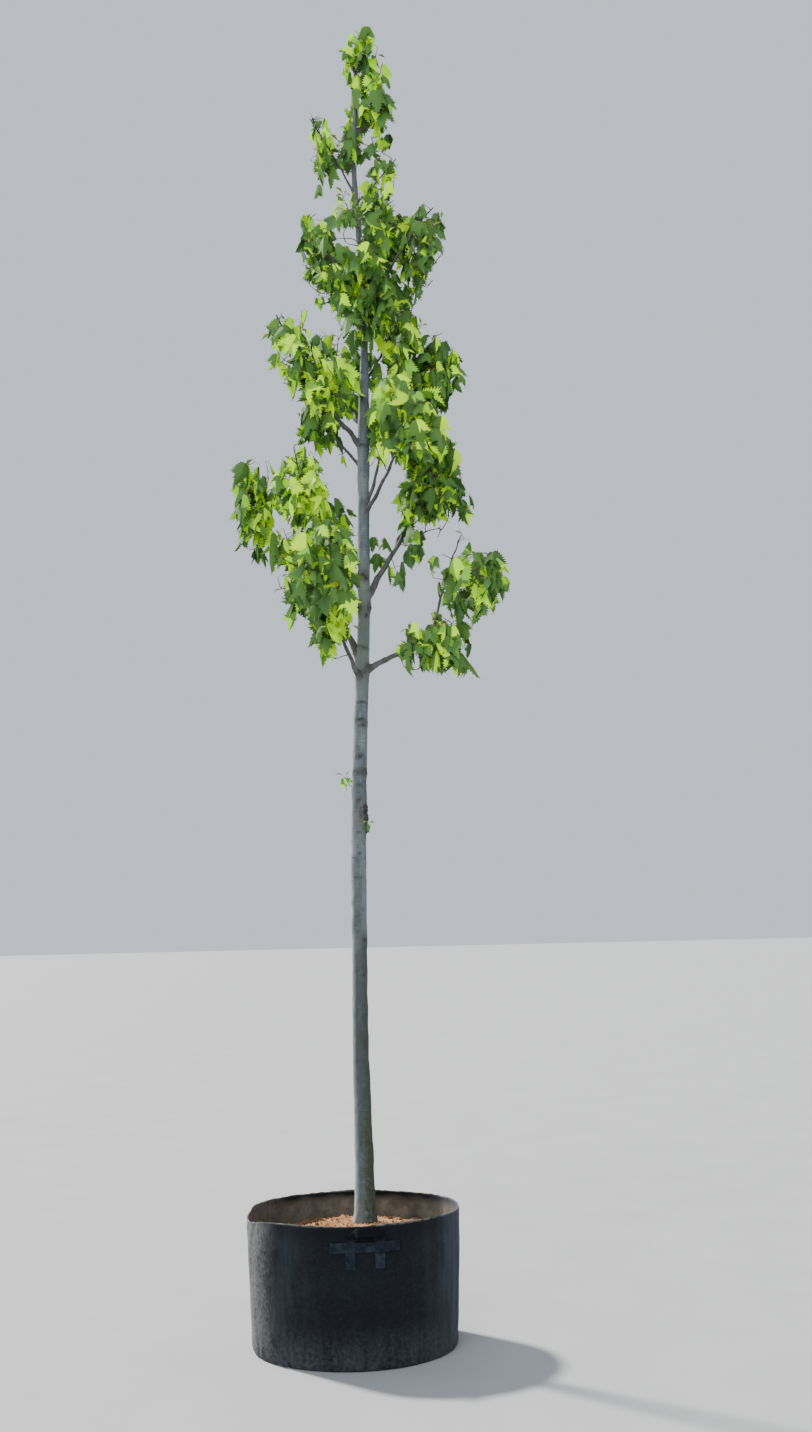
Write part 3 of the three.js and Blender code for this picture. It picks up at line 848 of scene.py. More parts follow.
def spread_points(rng, centre, size, count, low, high, gap):
    got = []
    lumps = Waves(int(rng.integers(1 << 30)), 2.0, 7, 3)
    tries = 0
    while len(got) < count and tries < 4000:
        tries += 1
        q = rng.uniform(-1, 1, 3)
        bulge = 1 + 0.07 * float(lumps(*(1.6 * q / max(math.sqrt(q @ q), 0.2))))
        if q @ q > bulge * bulge or not low < q[2] < high:
            continue
        if rng.random() < 0.14:
            q = q / max(math.sqrt(q @ q), 0.3) * rng.uniform(1.0, 1.18)
        p = centre + q * size
        if all(np.linalg.norm(p - g) > gap for g in got):
            got.append(p)
        if tries % 600 == 0:
            gap *= 0.85
    return got


def twig_curve(rng, a, b, start_dir):
    """From a to b: leaves along start_dir, ends turned upward."""
    d = b - a
    L = np.linalg.norm(d)
    n = max(4, int(L / 0.012) + 2)
    t = np.linspace(0, 1, n)[:, None]
    c1 = a + unit(start_dir + 0.9 * unit(d)) * L * 0.38
    c2 = b - unit(unit(d) + np.array([0, 0, 0.55])) * L * 0.32
    p = (1 - t) ** 3 * a + 3 * (1 - t) ** 2 * t * c1 + 3 * (1 - t) * t * t * c2 + t**3 * b
    wob = rng.normal(0, 0.0022, (n, 3))
    wob[0] = 0
    k = np.array([0.25, 0.5, 0.25])
    for i in range(3):
        wob[:, i] = np.convolve(wob[:, i], k, "same")
    wob[0] = 0
    return p + wob


SUN = np.array([-0.510, 0.466, 0.723])  # the way to the sun, from the bag's own shadow

for m, (limb, where, off, size, count, sun) in MASSES.items():
    rng = np.random.default_rng(seed_of("mass " + m))
    centre = mass_centre(m)
    size = np.array(size) / 1000
    reach = np.maximum(size - np.array([0.03, 0.03, 0.024]), 0.02)
    if limb is None:
        z = np.arange(centre[2] - size[2] * 1.1, min(centre[2] + size[2] * 0.6, 5.39), 0.02)
        wood = [(p, None, unit(np.array([0, 0, 1.0]))) for p in trunk_axis(z)]
    else:
        pts = on_limb(limb)
        tang = unit(np.gradient(pts, axis=0))
        wood = [(p, None, q) for p, q in zip(pts[len(pts) // 5 :: 2], tang[len(pts) // 5 :: 2])]
        near = [w for w in wood if np.linalg.norm((w[0] - centre) / (size * 1.25)) < 1]
        if len(near) > 3:
            wood = near
    goals = spread_points(rng, centre + np.array([0, 0, 0.02]), reach, int(count * 2.15), -0.66, 0.98, 0.062)
    goals.sort(key=lambda g: min(np.linalg.norm(g - w[0]) for w in wood))
    for g in goals:
        best, cost = None, 1e9
        for w in wood:
            d = g - w[0]
            L = np.linalg.norm(d)
            if L < 0.025:
                continue
            c = L * (1 + 0.9 * max(0, 0.25 - d[2] / L)) + (0.012 if w[1] is not None else 0)
            if c < cost:
                best, cost = w, c
        if best is None:
            continue
        pts = twig_curve(rng, best[0], g, best[2])
        twigs.append(Twig(pts, best[1], m))
        k = len(twigs) - 1
        p = best[1]
        while p is not None:
            twigs[p].load += 1
            p = twigs[p].parent
        tang = unit(np.gradient(pts, axis=0))
        for q, d in list(zip(pts, tang))[2::2]:
            wood.append((q, k, d))

in_mass = len(twigs)
CENTRES = {m: mass_centre(m) for m in MASSES}
HALVES = {m: np.array(MASSES[m][3]) / 1000 for m in MASSES}


def nearest_mass(p):
    m = min(MASSES, key=lambda k: np.linalg.norm((p - CENTRES[k]) / HALVES[k]))
    return m, float(np.linalg.norm((p - CENTRES[m]) / HALVES[m]))


def in_window(p, edge):
    x, y = seen(p)
    return any(a - edge < x < b + edge and c - edge < y < d + edge for a, b, c, d in WINDOWS)


# short leafy twigs on the open stretches of the limbs and of the upper stem
for name in list(BOUGHS) + ["stem"]:
    rng = np.random.default_rng(seed_of("sprays " + name))
    if name == "stem":
        pts = trunk_axis(np.arange(2.78, 5.1, 0.008))
        own = np.interp(pts[:, 2], TZ, TR)
    else:
        pts, own = LIMB_POINTS[name]
    s = np.concatenate([[0], np.cumsum(np.linalg.norm(np.diff(pts, axis=0), axis=1))])
    t, a, b = frames_along(pts)
    pos = 0.13 if name != "stem" else 0.04
    while pos < s[-1] - 0.02:
        k = int(np.searchsorted(s, pos))
        pos += rng.uniform(0.045, 0.08) if name != "stem" else rng.uniform(0.05, 0.1)
        ang, L = rng.uniform(0, 2 * math.pi), rng.uniform(0.05, 0.12)
        out = math.cos(ang) * a[k] + math.sin(ang) * b[k]
        end = pts[k] + own[k] * out + L * unit(0.5 * t[k] + out + 0.25 * UP)
        m, d = nearest_mass(pts[k])
        if d < 0.85 or rng.random() < 0.2 or in_window(end, 5) or seen(end)[1] > CLEAR_BELOW - 16:
            continue
        twigs.append(Twig(twig_curve(rng, pts[k] + 0.8 * own[k] * out, end, out), None, m))

# two shoots that have sprung from the bare stem
for z, way, reach, rise in ((2.136, (-1, -0.25, 0), 0.03, 0.034), (1.985, (0.9, -0.5, 0), 0.018, -0.004)):
    base = trunk_axis(z) + np.interp(z, TZ, TR) * 0.9 * unit(way)
    rng = np.random.default_rng(int(z * 1000))
    twigs.append(Twig(twig_curve(rng, base, base + reach * unit(way) + rise * UP, unit(way)), None, "low_left"))
shoots = len(twigs) - 2
hanging = []
for limb, where, drop, side in (("mid_right", 0.40, -0.02, -0.045), ("mid_right", 0.43, 0.07, 0.03), ("mid_right", 0.55, 0.01, 0.065)):
    base = limb_axis(limb)(where)
    rng = np.random.default_rng(int(where * 1000))
    bend = twig_curve(rng, base, base + np.array([side, -0.02, -drop]), np.array([0.5, -0.3, -0.2]))
    hanging.append(Twig(bend, None, "mid_right"))
twigs[in_mass:in_mass] = hanging
shoots += len(hanging)

twig_pile = Pile()
twig_tubes = []
for number, tw in enumerate(twigs):
    n = len(tw.pts)
    s = np.concatenate([[0], np.cumsum(np.linalg.norm(np.diff(tw.pts, axis=0), axis=1))])
    r0 = 0.0013 + 0.00080 * math.sqrt(tw.load)
    r = mix(r0, 0.0011, (s / s[-1]) ** 0.8)
    rng = np.random.default_rng(9000 + number)
    # this spray's own share of painted light: brighter towards the sun's side of its mass, with a random tone
    size = np.array(MASSES[tw.mass][3]) / 1000
    rel = (tw.pts[-1] - mass_centre(tw.mass)) / size
    tone = MASSES[tw.mass][5] + 0.08 * float(np.clip(rel @ SUN, -1, 1)) + rng.normal(0, 0.15)
    pos = s[-1]
    marks = []
    while pos > 0.012:
        marks.append(pos)
        pos -= rng.uniform(0.034, 0.056)
    if number >= shoots:
        marks = marks[:2]
    elif number >= in_mass + len(hanging):
        marks = marks[:3]
    for q in marks:
        r = r * (1 + 0.35 * hump(s - q, 0.0035))
    twig_tubes.append((tw.pts, r))
    # leaf pairs at the joints, from the tip down
    t, a, b = frames_along(tw.pts)
    keep = max(2, int(math.ceil(0.8 * len(marks))))
    spin = rng.uniform(0, math.pi)
    for i, q in enumerate(marks[:keep]):
        k = int(np.clip(np.searchsorted(s, q), 0, n - 1))
        for side in (0, math.pi):
            if i > 1 and rng.random() < 0.12:
                continue
            ang = spin + side + i * math.pi / 2 + rng.normal(0, 0.25)
            out = math.cos(ang) * a[k] + math.sin(ang) * b[k]
            big = (0.064 + 0.056 * rng.beta(2.0, 2.2)) * (0.74 if i == 0 else 1)
            kind = "leaf"
            if number >= shoots:
                kind, big = "shoot", big * (0.6 if number == shoots else 0.5)
            elif number >= in_mass:
                kind = "hanging" if number < in_mass + len(hanging) else "spray"
            leaf_sites.append((tw.pts[k], t[k], out, big, kind, tw.mass, tone, number, k))
    # the young shoot at some of the tips
    if rng.random() < (0.4 if number < shoots else 1.0):
        for j in range(2):
            ang = spin + math.pi / 2 + j * math.pi + rng.normal(0, 0.3)
            out = math.cos(ang) * a[-1] + math.sin(ang) * b[-1]
            leaf_sites.append((tw.pts[-1], t[-1], out, rng.uniform(0.022, 0.045), "young", tw.mass, tone, number, n - 1))


# ---- leaf outlines -------------------------------------------------------

# right half of the blade, from the stalk round to the tip
HALF = [
    (0.03, -0.04), (0.14, -0.10), (0.19, -0.05), (0.27, -0.07), (0.28, 0.02), (0.37, 0.02),
    (0.345, 0.095), (0.445, 0.135), (0.395, 0.20), (0.50, 0.26), (0.445, 0.325), (0.555, 0.40),
    (0.505, 0.455), (0.60, 0.53), (0.555, 0.57), (0.645, 0.70), (0.51, 0.635), (0.475, 0.725),
    (0.40, 0.61), (0.345, 0.665), (0.245, 0.545), (0.315, 0.655), (0.24, 0.675), (0.315, 0.775),
    (0.215, 0.78), (0.25, 0.875), (0.15, 0.865), (0.145, 0.965), (0.07, 0.955),
]  # fmt: skip
INNER = [(0, 0.18), (0, 0.40), (0, 0.62), (0, 0.84), (0.17, 0.18), (0.31, 0.34), (0.44, 0.50), (0.14, 0.42), (0.12, 0.66)]
# a young blade, before its teeth have opened
BUD = [(0.10, 0.10), (0.20, 0.30), (0.34, 0.50), (0.20, 0.56), (0.16, 0.74)]


def leaf_template(seed, lobes, width, outline=HALF, inner=INNER, end=1.22):
    """A flat blade: vertices (across, along) and triangles."""
    r = np.random.default_rng(seed)

    def half(sign):
        out = []
        for i, (x, y) in enumerate(outline):
            if outline is HALF:
                x *= 1.05 if i % 2 else 0.91
            ang = math.degrees(math.atan2(x, max(y, -0.2) + 0.02))
            k = 1 + lobes * 0.10 * math.cos(math.radians((ang - 42) * 8))
            if x < 0.33 and y > 0.545:
                y = 0.545 + (y - 0.545) * 1.22
            x2 = x * width * k + r.normal(0, 0.007)
            y2 = y * k + r.normal(0, 0.007)
            out.append((sign * x2, y2))
        return out

    right = half(1)
    left = half(-1)[::-1]
    tip = (r.normal(0, 0.01), end)
    ring = [(0.0, 0.0)] + right + [tip] + left
    inside = [(x * width * s, y) for x, y in inner for s in ((1, -1) if x else (1,))]
    verts = [Vector(p) for p in ring + inside]
    n = len(ring)
    edges = [(i, (i + 1) % n) for i in range(n)]
    at = {p: i + n for i, p in enumerate(inside)}
    mid = [0] + [i + n for i, p in enumerate(inside) if p[0] == 0] + [len(right) + 1]
    edges += list(zip(mid[:-1], mid[1:]))
    for s in (1, -1):
        vein = [0] + [at[(x * width * s, y)] for x, y in inner[4:7]]
        edges += list(zip(vein[:-1], vein[1:]))
    res = delaunay_2d_cdt(verts, edges, [list(range(n))], 1, 1e-6)
    v = np.array([(p[0], p[1]) for p in res[0]])
    tris = np.array([f for f in res[2] if len(f) == 3])
    # all facing the same way
    a, b, c = v[tris[:, 0]], v[tris[:, 1]], v[tris[:, 2]]
    area = (b[:, 0] - a[:, 0]) * (c[:, 1] - a[:, 1]) - (c[:, 0] - a[:, 0]) * (b[:, 1] - a[:, 1])
    tris[area < 0] = tris[area < 0][:, ::-1]
    tris = tris[np.abs(area) > 1e-7]
    # four sectors, so that the two sides of the midrib, and the tip, can be
    # painted lit or shaded differently
    c = v[tris].mean(1)
    sector = (c[:, 0] > 0) * 1 + (c[:, 1] > 0.52) * 2
    return v, tris, sector


TEMPLATES = [leaf_template(40 + i, lob, wid) for i, (lob, wid) in enumerate([(0.0, 0.92), (0.5, 0.84), (-0.6, 0.88), (0.25, 0.98), (-0.3, 0.76), (0.8, 0.92)])]
YOUNG = [leaf_template(70 + i, 0, 0.8, BUD, [(0, 0.3), (0, 0.7)], 1.0) for i in range(2)]


def shaped(v, size, fold, droop, curl, wave, phase):
    """Leaf blades in space: v (n, 2), the rest one value a leaf. Returns
    points in leaf axes: x across, y along, z to the upper side."""
    x = v[None, :, 0] * np.ones_like(size)[:, None]
    y = v[None, :, 1] * np.ones_like(size)[:, None]
    f, d, c, w, p = (q[:, None] for q in (fold, droop, curl, wave, phase))
    # veins stand in shallow grooves, the blade bellies between them
    ang = np.arctan2(np.abs(x), y + 0.03)
    rib = 0.5 - 0.5 * np.cos(ang / math.radians(47) * 2 * math.pi)
    r = np.hypot(x, y)
    z = 0.028 * rib * smooth(r * 2.2)
    z = z + w * 0.035 * np.sin(5.5 * x + p) * np.cos(6.5 * y + 1.7 * p) * smooth(r * 1.6)
    # halves folded along the midrib, the outer lobes hanging further
    lift = -np.abs(x) * np.sin(f) - 0.35 * c * x * x
    X = x * np.cos(f)
    Z0 = z + lift
    # bend along the length
    k = np.where(np.abs(d) < 1e-3, 1e-3, d)
    Y = np.sin(k * y) / k + Z0 * np.sin(k * y)
    Z = -(1 - np.cos(k * y)) / k + Z0 * np.cos(k * y)
    return np.stack([X, Y, Z], -1) * size[:, None, None]


def vertex_normals(P, tris):
    a, b, c = P[:, tris[:, 0]], P[:, tris[:, 1]], P[:, tris[:, 2]]
    fn = np.cross(b - a, c - a)
    N = np.zeros_like(P)
    for k in range(3):
        np.add.at(N, (slice(None), tris[:, k]), fn)
    return unit(N)


# painted light: the upper and under sides of the blades come in lit and shaded copies of one leaf colour, from
# painted deep shade to a painted glow where light falls through; each side takes one by how it faces the sun and
# where it sits in its mass
LEAF_CLASSES = ("deep", "shade", "green", "fresh", "sunlit", "yellow")
LEAF_STEPS = (0.04, 0.41, 0.64, 0.69, 0.73)
UNDER_CLASSES = ("pale", "soft", "glow")
UNDER_STEPS = (0.49, 0.63)
upper = {k: Pile() for k in LEAF_CLASSES}
under = {k: Pile() for k in UNDER_CLASSES}
young_pile, stalk_pile = Pile(), Pile()



def fitted(end, tip, across, size):
    """The size at which a blade keeps to the outline and out of the windows,
    or 0."""
    for k in (1.0, 0.78, 0.6):
        own = size * k
        mid = end + tip * own * 0.5
        spots = seen(np.array([mid, end + tip * own, mid + across * own * 0.42, mid - across * own * 0.42]))
        left = np.interp(spots[:, 1], OUTLINE[:, 0], OUTLINE[:, 1])
        right = np.interp(spots[:, 1], OUTLINE[:, 0], OUTLINE[:, 2])
        over = np.maximum(left - spots[:, 0], spots[:, 0] - right)
        if over[0] > 0 or over[1:].max() > 6:
            continue
        for x, y in spots:
            if any(a + 3 < x < b - 3 and c + 3 < y < d - 3 for a, b, c, d in WINDOWS):
                break
        else:
            x, y = spots[0]
            if not any(a - 1 < x < b + 1 and c - 1 < y < d + 1 for a, b, c, d in WINDOWS):
                return own
    return 0


rng = np.random.default_rng(20260)
gaps = Waves(77, 0.088, 12)
# no leaf hangs out further than this past the solid masses
ROOM = np.array(CAD_BOX[0])[:2] - 0.024, np.array(CAD_BOX[1])[:2] + 0.024
blades = {}  # (template, kind) -> rows
dropped = 0
ends = {}  # twig -> its outermost point with a leaf
for at, along, out, size, kind, m, tone, number, k in leaf_sites:
    young = kind == "young"
    flat = out - UP * out[2]
    h = unit(flat + rng.normal(0, 0.25, 3) * np.array([1, 1, 0]) + 1e-6)
    stalk = (rng.uniform(0.45, 0.8) * size) if not young else size * 0.35
    q0 = unit(0.8 * out + 0.45 * along + 0.15 * UP)
    mid = at + q0 * stalk * 0.55
    end = at + h * stalk * rng.uniform(0.55, 0.85) + UP * stalk * rng.uniform(-0.4, 0.35)
    if young:
        end = at + unit(out * 0.7 + UP * 1.0) * stalk
        mid = (at + end) / 2
        tip = unit(out * 0.9 + UP * rng.uniform(-0.2, 0.9))
        face = unit(UP + out * -0.2 + rng.normal(0, 0.2, 3))
    else:
        lean = rng.uniform(0.0, 0.75)
        tip = unit(h * lean + np.array([0, 0, -1.0]) * rng.uniform(0.6, 1.2) + rng.normal(0, 0.17, 3))
        face = unit(h + UP * 0.4 + rng.normal(0, 0.68, 3))
    face = unit(face - tip * (face @ tip))
    across = np.cross(tip, face)
    px, py = seen(end + tip * size * 0.5)
    if kind in ("leaf", "spray"):
        if seen(end + tip * size)[1] > CLEAR_BELOW + 4:
            dropped += 1
            continue
        hang = end + tip * size * 0.5
        if float(gaps(hang[0], 0.14 * hang[1], hang[2])) > 0.88:
            dropped += 1
            continue
        size = fitted(end, tip, across, size)
        if size == 0:
            dropped += 1
            continue
        q = (end + tip * size * 0.5 - CENTRES[m]) / HALVES[m]
        if kind == "leaf" and q @ q > 1.25 + rng.uniform(0, 0.35):
            dropped += 1
            continue
    blade = np.array([end + tip * size, end + tip * size * 0.5 + across * size * 0.45, end + tip * size * 0.5 - across * size * 0.45])[:, :2]
    if (blade.min(0) < ROOM[0]).any() or (blade.max(0) > ROOM[1]).any():
        dropped += 1
        continue
    if young:
        x, y = seen(end)
        left, right = (np.interp(y, OUTLINE[:, 0], OUTLINE[:, i]) for i in (1, 2))
        if number < shoots and (x < left - 1 or x > right + 1 or in_window(end, -2)):
            continue
        if number < in_mass and ends.get(number, 0) < k - 5:
            continue
    ends[number] = max(ends.get(number, 0), k)
    t = np.linspace(0, 1, 5)[:, None]
    c = (1 - t) ** 2 * at + 2 * (1 - t) * t * mid + t * t * end
    rs = mix(0.0010, 0.0007, t[:, 0]) if not young else mix(0.0008, 0.0005, t[:, 0])
    stalk_pile.add(*tube(c, rs, 4, closed=False))
    if young:
        key = (int(rng.integers(len(YOUNG))), "young")
    else:
        key = (int(rng.integers(len(TEMPLATES))), "leaf")
    blades.setdefault(key, []).append((end, across, tip, face, size, tone))

# a twig reaches no further than its last leaf or the last twig that it carries
carried = {}
for tw in twigs:
    if tw.parent is not None:
        far = int(np.linalg.norm(twigs[tw.parent].pts - tw.pts[0], axis=1).argmin())
        carried[tw.parent] = max(carried.get(tw.parent, 0), far)
for number in range(len(twigs) - 1, -1, -1):
    if number not in ends and number not in carried:
        continue
    pts, r = twig_tubes[number]
    n = min(len(pts), max(ends.get(number, 0), carried.get(number, 0)) + 2)
    if n > 3:
        twig_pile.add(*tube(pts[:n], r[:n], 6))


def take(pile, W, tris):
    """Adds copies of one sector, leaving out the vertices it doesn't use."""
    used, index = np.unique(tris, return_inverse=True)
    t = index.reshape(-1, 3)
    n = len(W)
    base = (np.arange(n) * len(used))[:, None, None]
    pile.add(W[:, used].reshape(-1, 3), (t[None] + base).reshape(-1, 3))


leaves_made = 0
for (k, kind), rows in sorted(blades.items()):
    v, tris, sector = (YOUNG if kind == "young" else TEMPLATES)[k]
    n = len(rows)
    E = np.array([r[0] for r in rows])
    basis = np.stack([np.array([r[i] for r in rows]) for i in (1, 2, 3)], 1)
    size = np.array([r[4] for r in rows])
    tone = np.array([r[5] for r in rows])
    g = np.random.default_rng(seed_of(f"{k}{kind}"))
    if kind == "young":
        fold = g.uniform(-0.9, -0.3, n)
        droop = g.uniform(-0.3, 0.9, n)
    else:
        fold = g.uniform(0.2, 1.3, n)
        droop = g.uniform(0.0, 1.2, n)
    P = shaped(v, size, fold, droop, g.uniform(0, 1.0, n), g.uniform(0.3, 1.3, n), g.uniform(0, 6.28, n))
    N = vertex_normals(P, tris)
    side = 0.00028
    W = np.einsum("nvk,nkj->nvj", P + N * side, basis) + E[:, None]
    W2 = np.einsum("nvk,nkj->nvj", P - N * side, basis) + E[:, None]
    if kind == "young":
        take(young_pile, W, tris)
        take(young_pile, W2, tris[:, ::-1])
        continue
    leaves_made += n
    own = g.normal(0, 0.17, n)
    for q in range(4):
        part = tris[sector == q]
        # which way this sector faces, in the common frame
        facing = np.einsum("nk,nkj->nj", unit(N[:, np.unique(part)].mean(1)), basis)
        # painted light: a sheet is painted brightest where the light falls through it from behind; spot adds patches
        # of painted shade and light
        through = facing @ SUN
        spot = g.normal(0, 0.19, n)
        up = np.searchsorted(LEAF_STEPS, tone - 0.28 * through + own + spot)
        lo = np.searchsorted(UNDER_STEPS, tone + 0.28 * through + own + spot)
        # the side that the sun falls on is lit by the lamp, not through the blade, so its painted brightness is
        # capped
        up = np.where(through > 0.0, np.minimum(up, np.where(spot > 0.0, 3, 2)), up)
        lo = np.where(through < 0.0, np.minimum(lo, np.where(spot > 0.03, 1, 0)), lo)
        for i, c in enumerate(LEAF_CLASSES):
            if (up == i).any():
                take(upper[c], W[up == i], part)
        for i, c in enumerate(UNDER_CLASSES):
            if (lo == i).any():
                take(under[c], W2[lo == i], part[:, ::-1])

print("twigs", in_mass, "sprays", len(twigs) - in_mass, "leaves", leaves_made, "dropped", dropped)

# ------------------------------------------------------------- leaf materials


def plain(name, colour, rough, shine=0.16, share=1 / LIGHT):
    s = Shader(name, rough)
    s.colour(colour, share)
    s.b.inputs["Specular IOR Level"].default_value = shine
    return s


# painted light: tints for the lit and shaded copies of the leaves; the brightest keep full strength as painted
# sunlight and painted glow
LEAF_SHADERS = {
    "deep": plain("leaf_deep", (0.088, 0.198, 0.048), 0.65, 0.08),
    "shade": plain("leaf_shade", (0.091, 0.204, 0.046), 0.65, 0.08),
    "green": plain("leaf_green", (0.099, 0.220, 0.038), 0.65, 0.08),
    "fresh": plain("leaf_painted_half_lit", (0.235, 0.52, 0.052), 0.62, 0.1, 1),
    "sunlit": plain("leaf_sunlit", (0.48, 0.94, 0.035), 0.7, 0.04, 1),
    "yellow": plain("leaf_painted_backlit_glow", (0.60, 1.0, 0.028), 0.7, 0.0, 1),
}
UNDER_SHADERS = {
    "pale": plain("leaf_under_pale", (0.110, 0.234, 0.076), 0.75, 0.03),
    "soft": plain("leaf_under_soft", (0.162, 0.345, 0.062), 0.75, 0.03),
    "glow": plain("leaf_under_glow", (0.55, 1.0, 0.024), 0.75, 0.0, 1),
}
young_shader = plain("leaf_young", (0.36, 0.46, 0.05), 0.6, 0.1)

leaf_nodes = [n for n in frame["nodes"] if n.startswith("leaves_")]
for i, k in enumerate(LEAF_CLASSES):
    ob = upper[k].make("leaves_" + k)
    finish_piece(ob, LEAF_SHADERS[k], "foliage", *(leaf_nodes if i == 0 else ()))
for k in under:
    finish_piece(under[k].make("leaf_undersides_" + k), UNDER_SHADERS[k], "foliage")
finish_piece(young_pile.make("young_leaves"), young_shader, "foliage")

finish_piece(stalk_pile.make("leaf_stalks"), plain("stalks", (0.26, 0.24, 0.06), 0.5), "foliage")
finish_piece(twig_pile.make("twigs"), plain("twigs", (0.125, 0.092, 0.070), 0.7), "bark")

# ---------------------------------------------------------------------- bark

s = Shader("bark", 0.8)
X, Y, Z = s.xyz()[0], s.xyz()[1], s.xyz()[2]


def mark_of(name):
    n = s.node("ShaderNodeAttribute", attribute_type="GEOMETRY")
    n.attribute_name = name
    return n.outputs["Fac"]


# hairlines lie across the stem, faint patches are drawn out along it
lines = s.noise(1, 4, 0.6, 0.2, s.mapped((16, 16, 430)))
patch = s.noise(1, 5, 0.6, 0.4, s.mapped((40, 40, 17)))
broad = s.noise(1, 3, 0.5, 0.2, s.mapped((10, 10, 4.0), location=(3, 1, 7)))
fine = s.noise(260, 4, 0.6)
lent = s.voronoi(1, "F1", s.mapped((70, 70, 105)), 1.0)
base = s.ramp(patch, [(0.32, (0.055, 0.079, 0.090)), (0.5, (0.088, 0.121, 0.138)), (0.68, (0.143, 0.185, 0.206))])
base = s.mixc(s.remap(broad, 0.52, 0.66, 0, 0.5), base, (0.105, 0.100, 0.078))
base = s.mixc(s.remap(broad, 0.46, 0.36, 0, 0.5), base, (0.23, 0.245, 0.245))
base = s.mixc(s.remap(lines, 0.56, 0.66, 0, 0.55), base, (0.052, 0.052, 0.048))
base = s.mixc(s.remap(lines, 0.42, 0.30, 0, 0.4), base, (0.29, 0.31, 0.31))
base = s.mixc(s.remap(lent, 0.17, 0.09, 0, 0.75), base, (0.040, 0.036, 0.031))
# the stem is duller towards its foot; painted light: a band under the crown is painted lighter, and its -X side,
# which faces the sun, carries a painted highlight
geo = s.node("ShaderNodeNewGeometry")
nrm = s.node("ShaderNodeSeparateXYZ")
s.link(geo.outputs["Normal"], nrm.inputs[0])
foot = s.remap(s.math("ADD", Z, s.math("MULTIPLY", s.noise(9, 3), 0.3)), 1.98, 1.60)
foot = s.math("MULTIPLY", foot, s.remap(Z, 0.50, 0.80, 0.2, 1))
base = s.mixc(s.math("MULTIPLY", foot, 0.60), base, (0.024, 0.032, 0.028))
# painted light: the stem from 2.44 to 3.12 m is painted lighter against the shade of the limbs and leaves above
lit = s.math("MULTIPLY", s.remap(Z, 2.44, 2.54), s.remap(Z, 3.12, 2.98))
dull = s.math("MULTIPLY", s.remap(Z, 1.88, 1.94), s.remap(Z, 2.14, 2.05))
base = s.mixc(s.math("MULTIPLY", dull, 0.38), base, (0.035, 0.045, 0.042))
base = s.mixc(s.math("MULTIPLY", lit, 0.55), base, (0.215, 0.255, 0.215))
murk = s.math("MULTIPLY", s.remap(Z, 0.98, 1.08), s.remap(Z, 1.52, 1.44))
base = s.mixc(s.math("MULTIPLY", murk, 0.34), base, (0.020, 0.029, 0.022))
pale = s.math("MULTIPLY", s.remap(nrm.outputs[0], 0.10, 0.75), s.math("MULTIPLY", s.remap(Z, 1.50, 1.58), s.remap(Z, 1.92, 1.84)))
base = s.mixc(s.math("MULTIPLY", pale, 0.40), base, (0.27, 0.32, 0.34))
# painted highlight: the -X side, which faces the sun, is painted paler, and palest near the foot
sunny = s.remap(s.math("ADD", nrm.outputs[0], s.math("MULTIPLY", s.math("SUBTRACT", patch, 0.5), 0.5)), -0.45, -0.92)
base = s.mixc(s.math("MULTIPLY", sunny, 0.55), base, (0.33, 0.34, 0.335))
base = s.mixc(s.math("MULTIPLY", s.math("MULTIPLY", sunny, s.remap(Z, 0.66, 0.50)), 0.45), base, (0.42, 0.46, 0.49))
# limbs are browner than the stem
limb_tone = mark_of("limb")
base = s.mixc(s.math("MULTIPLY", limb_tone, 0.8), base, s.ramp(patch, [(0.3, (0.038, 0.032, 0.031)), (0.55, (0.083, 0.073, 0.071)), (0.75, (0.15, 0.138, 0.135))]))
base = s.mixc(s.math("MULTIPLY", s.remap(Z, 3.9, 4.9), 0.4), base, (0.095, 0.088, 0.092))
base = s.mixc(s.math("MULTIPLY", mark_of("brown"), 0.6), base, (0.085, 0.074, 0.060))
# painted light: a band of the stem just under the low limbs is painted lighter against their shade
painted_light_band = s.math("MULTIPLY", s.math("MULTIPLY", s.remap(Z, 2.55, 2.60), s.remap(Z, 2.73, 2.68)), s.remap(limb_tone, 0.5, 0.0))
base = s.mixc(s.math("MULTIPLY", painted_light_band, 0.32), base, (0.24, 0.29, 0.26))
# green film low down, on the side away from the light
side = s.math("ADD", s.math("MULTIPLY", X, 16.0), s.math("MULTIPLY", Y, -5.0))
side = s.remap(s.math("ADD", side, s.math("MULTIPLY", s.noise(22, 4), 0.9)), 0.95, 1.5)
low = s.remap(Z, 1.75, 0.75)
alga = s.math("MULTIPLY", s.math("MULTIPLY", side, low), s.remap(s.noise(75, 4), 0.3, 0.62, 0.45, 1))
base = s.mixc(alga, base, (0.026, 0.036, 0.013))
base = s.mixc(mark_of("dark"), base, (0.022, 0.019, 0.018))
s.colour(base)
s.rough(s.remap(fine, 0.3, 0.7, 0.72, 0.92))
hgt = s.math("ADD", s.math("MULTIPLY", lines, 0.6), s.math("ADD", s.math("MULTIPLY", fine, 0.35), s.math("MULTIPLY", s.remap(lent, 0.2, 0.05), 0.5)))
s.normal(s.bump(hgt, 0.55, 0.0016))
bark_shader = s
bark_nodes = [n for n in frame["nodes"] if n == "trunk" or n.startswith("limb_")]
bark_ob = bark.make("bark")
bark.mark(bark_ob, ("dark", "brown", "limb"))
finish_piece(bark_ob, bark_shader, "bark", *bark_nodes)

# ----------------------------------------------------------------------- bag


def wall_radius(z):
    return mix(BAG_FOOT, BAG_RIM, smooth(1.1 * z / BAG_H)) - 0.006 * hump(z, 0.014)


def wall_wander(az, z):
    t = np.clip(z / BAG_H, 0, 1)
    rnd = hump(turn(az, 190), 42)
    return (
        0.0026 * np.sin(np.radians(3 * az + 40)) * t
        + 0.0018 * np.sin(np.radians(7 * az + 10) + z / 0.14) * smooth(t * 3)
        + 0.014 * rnd * hump(z - 0.3, 0.52)
    )


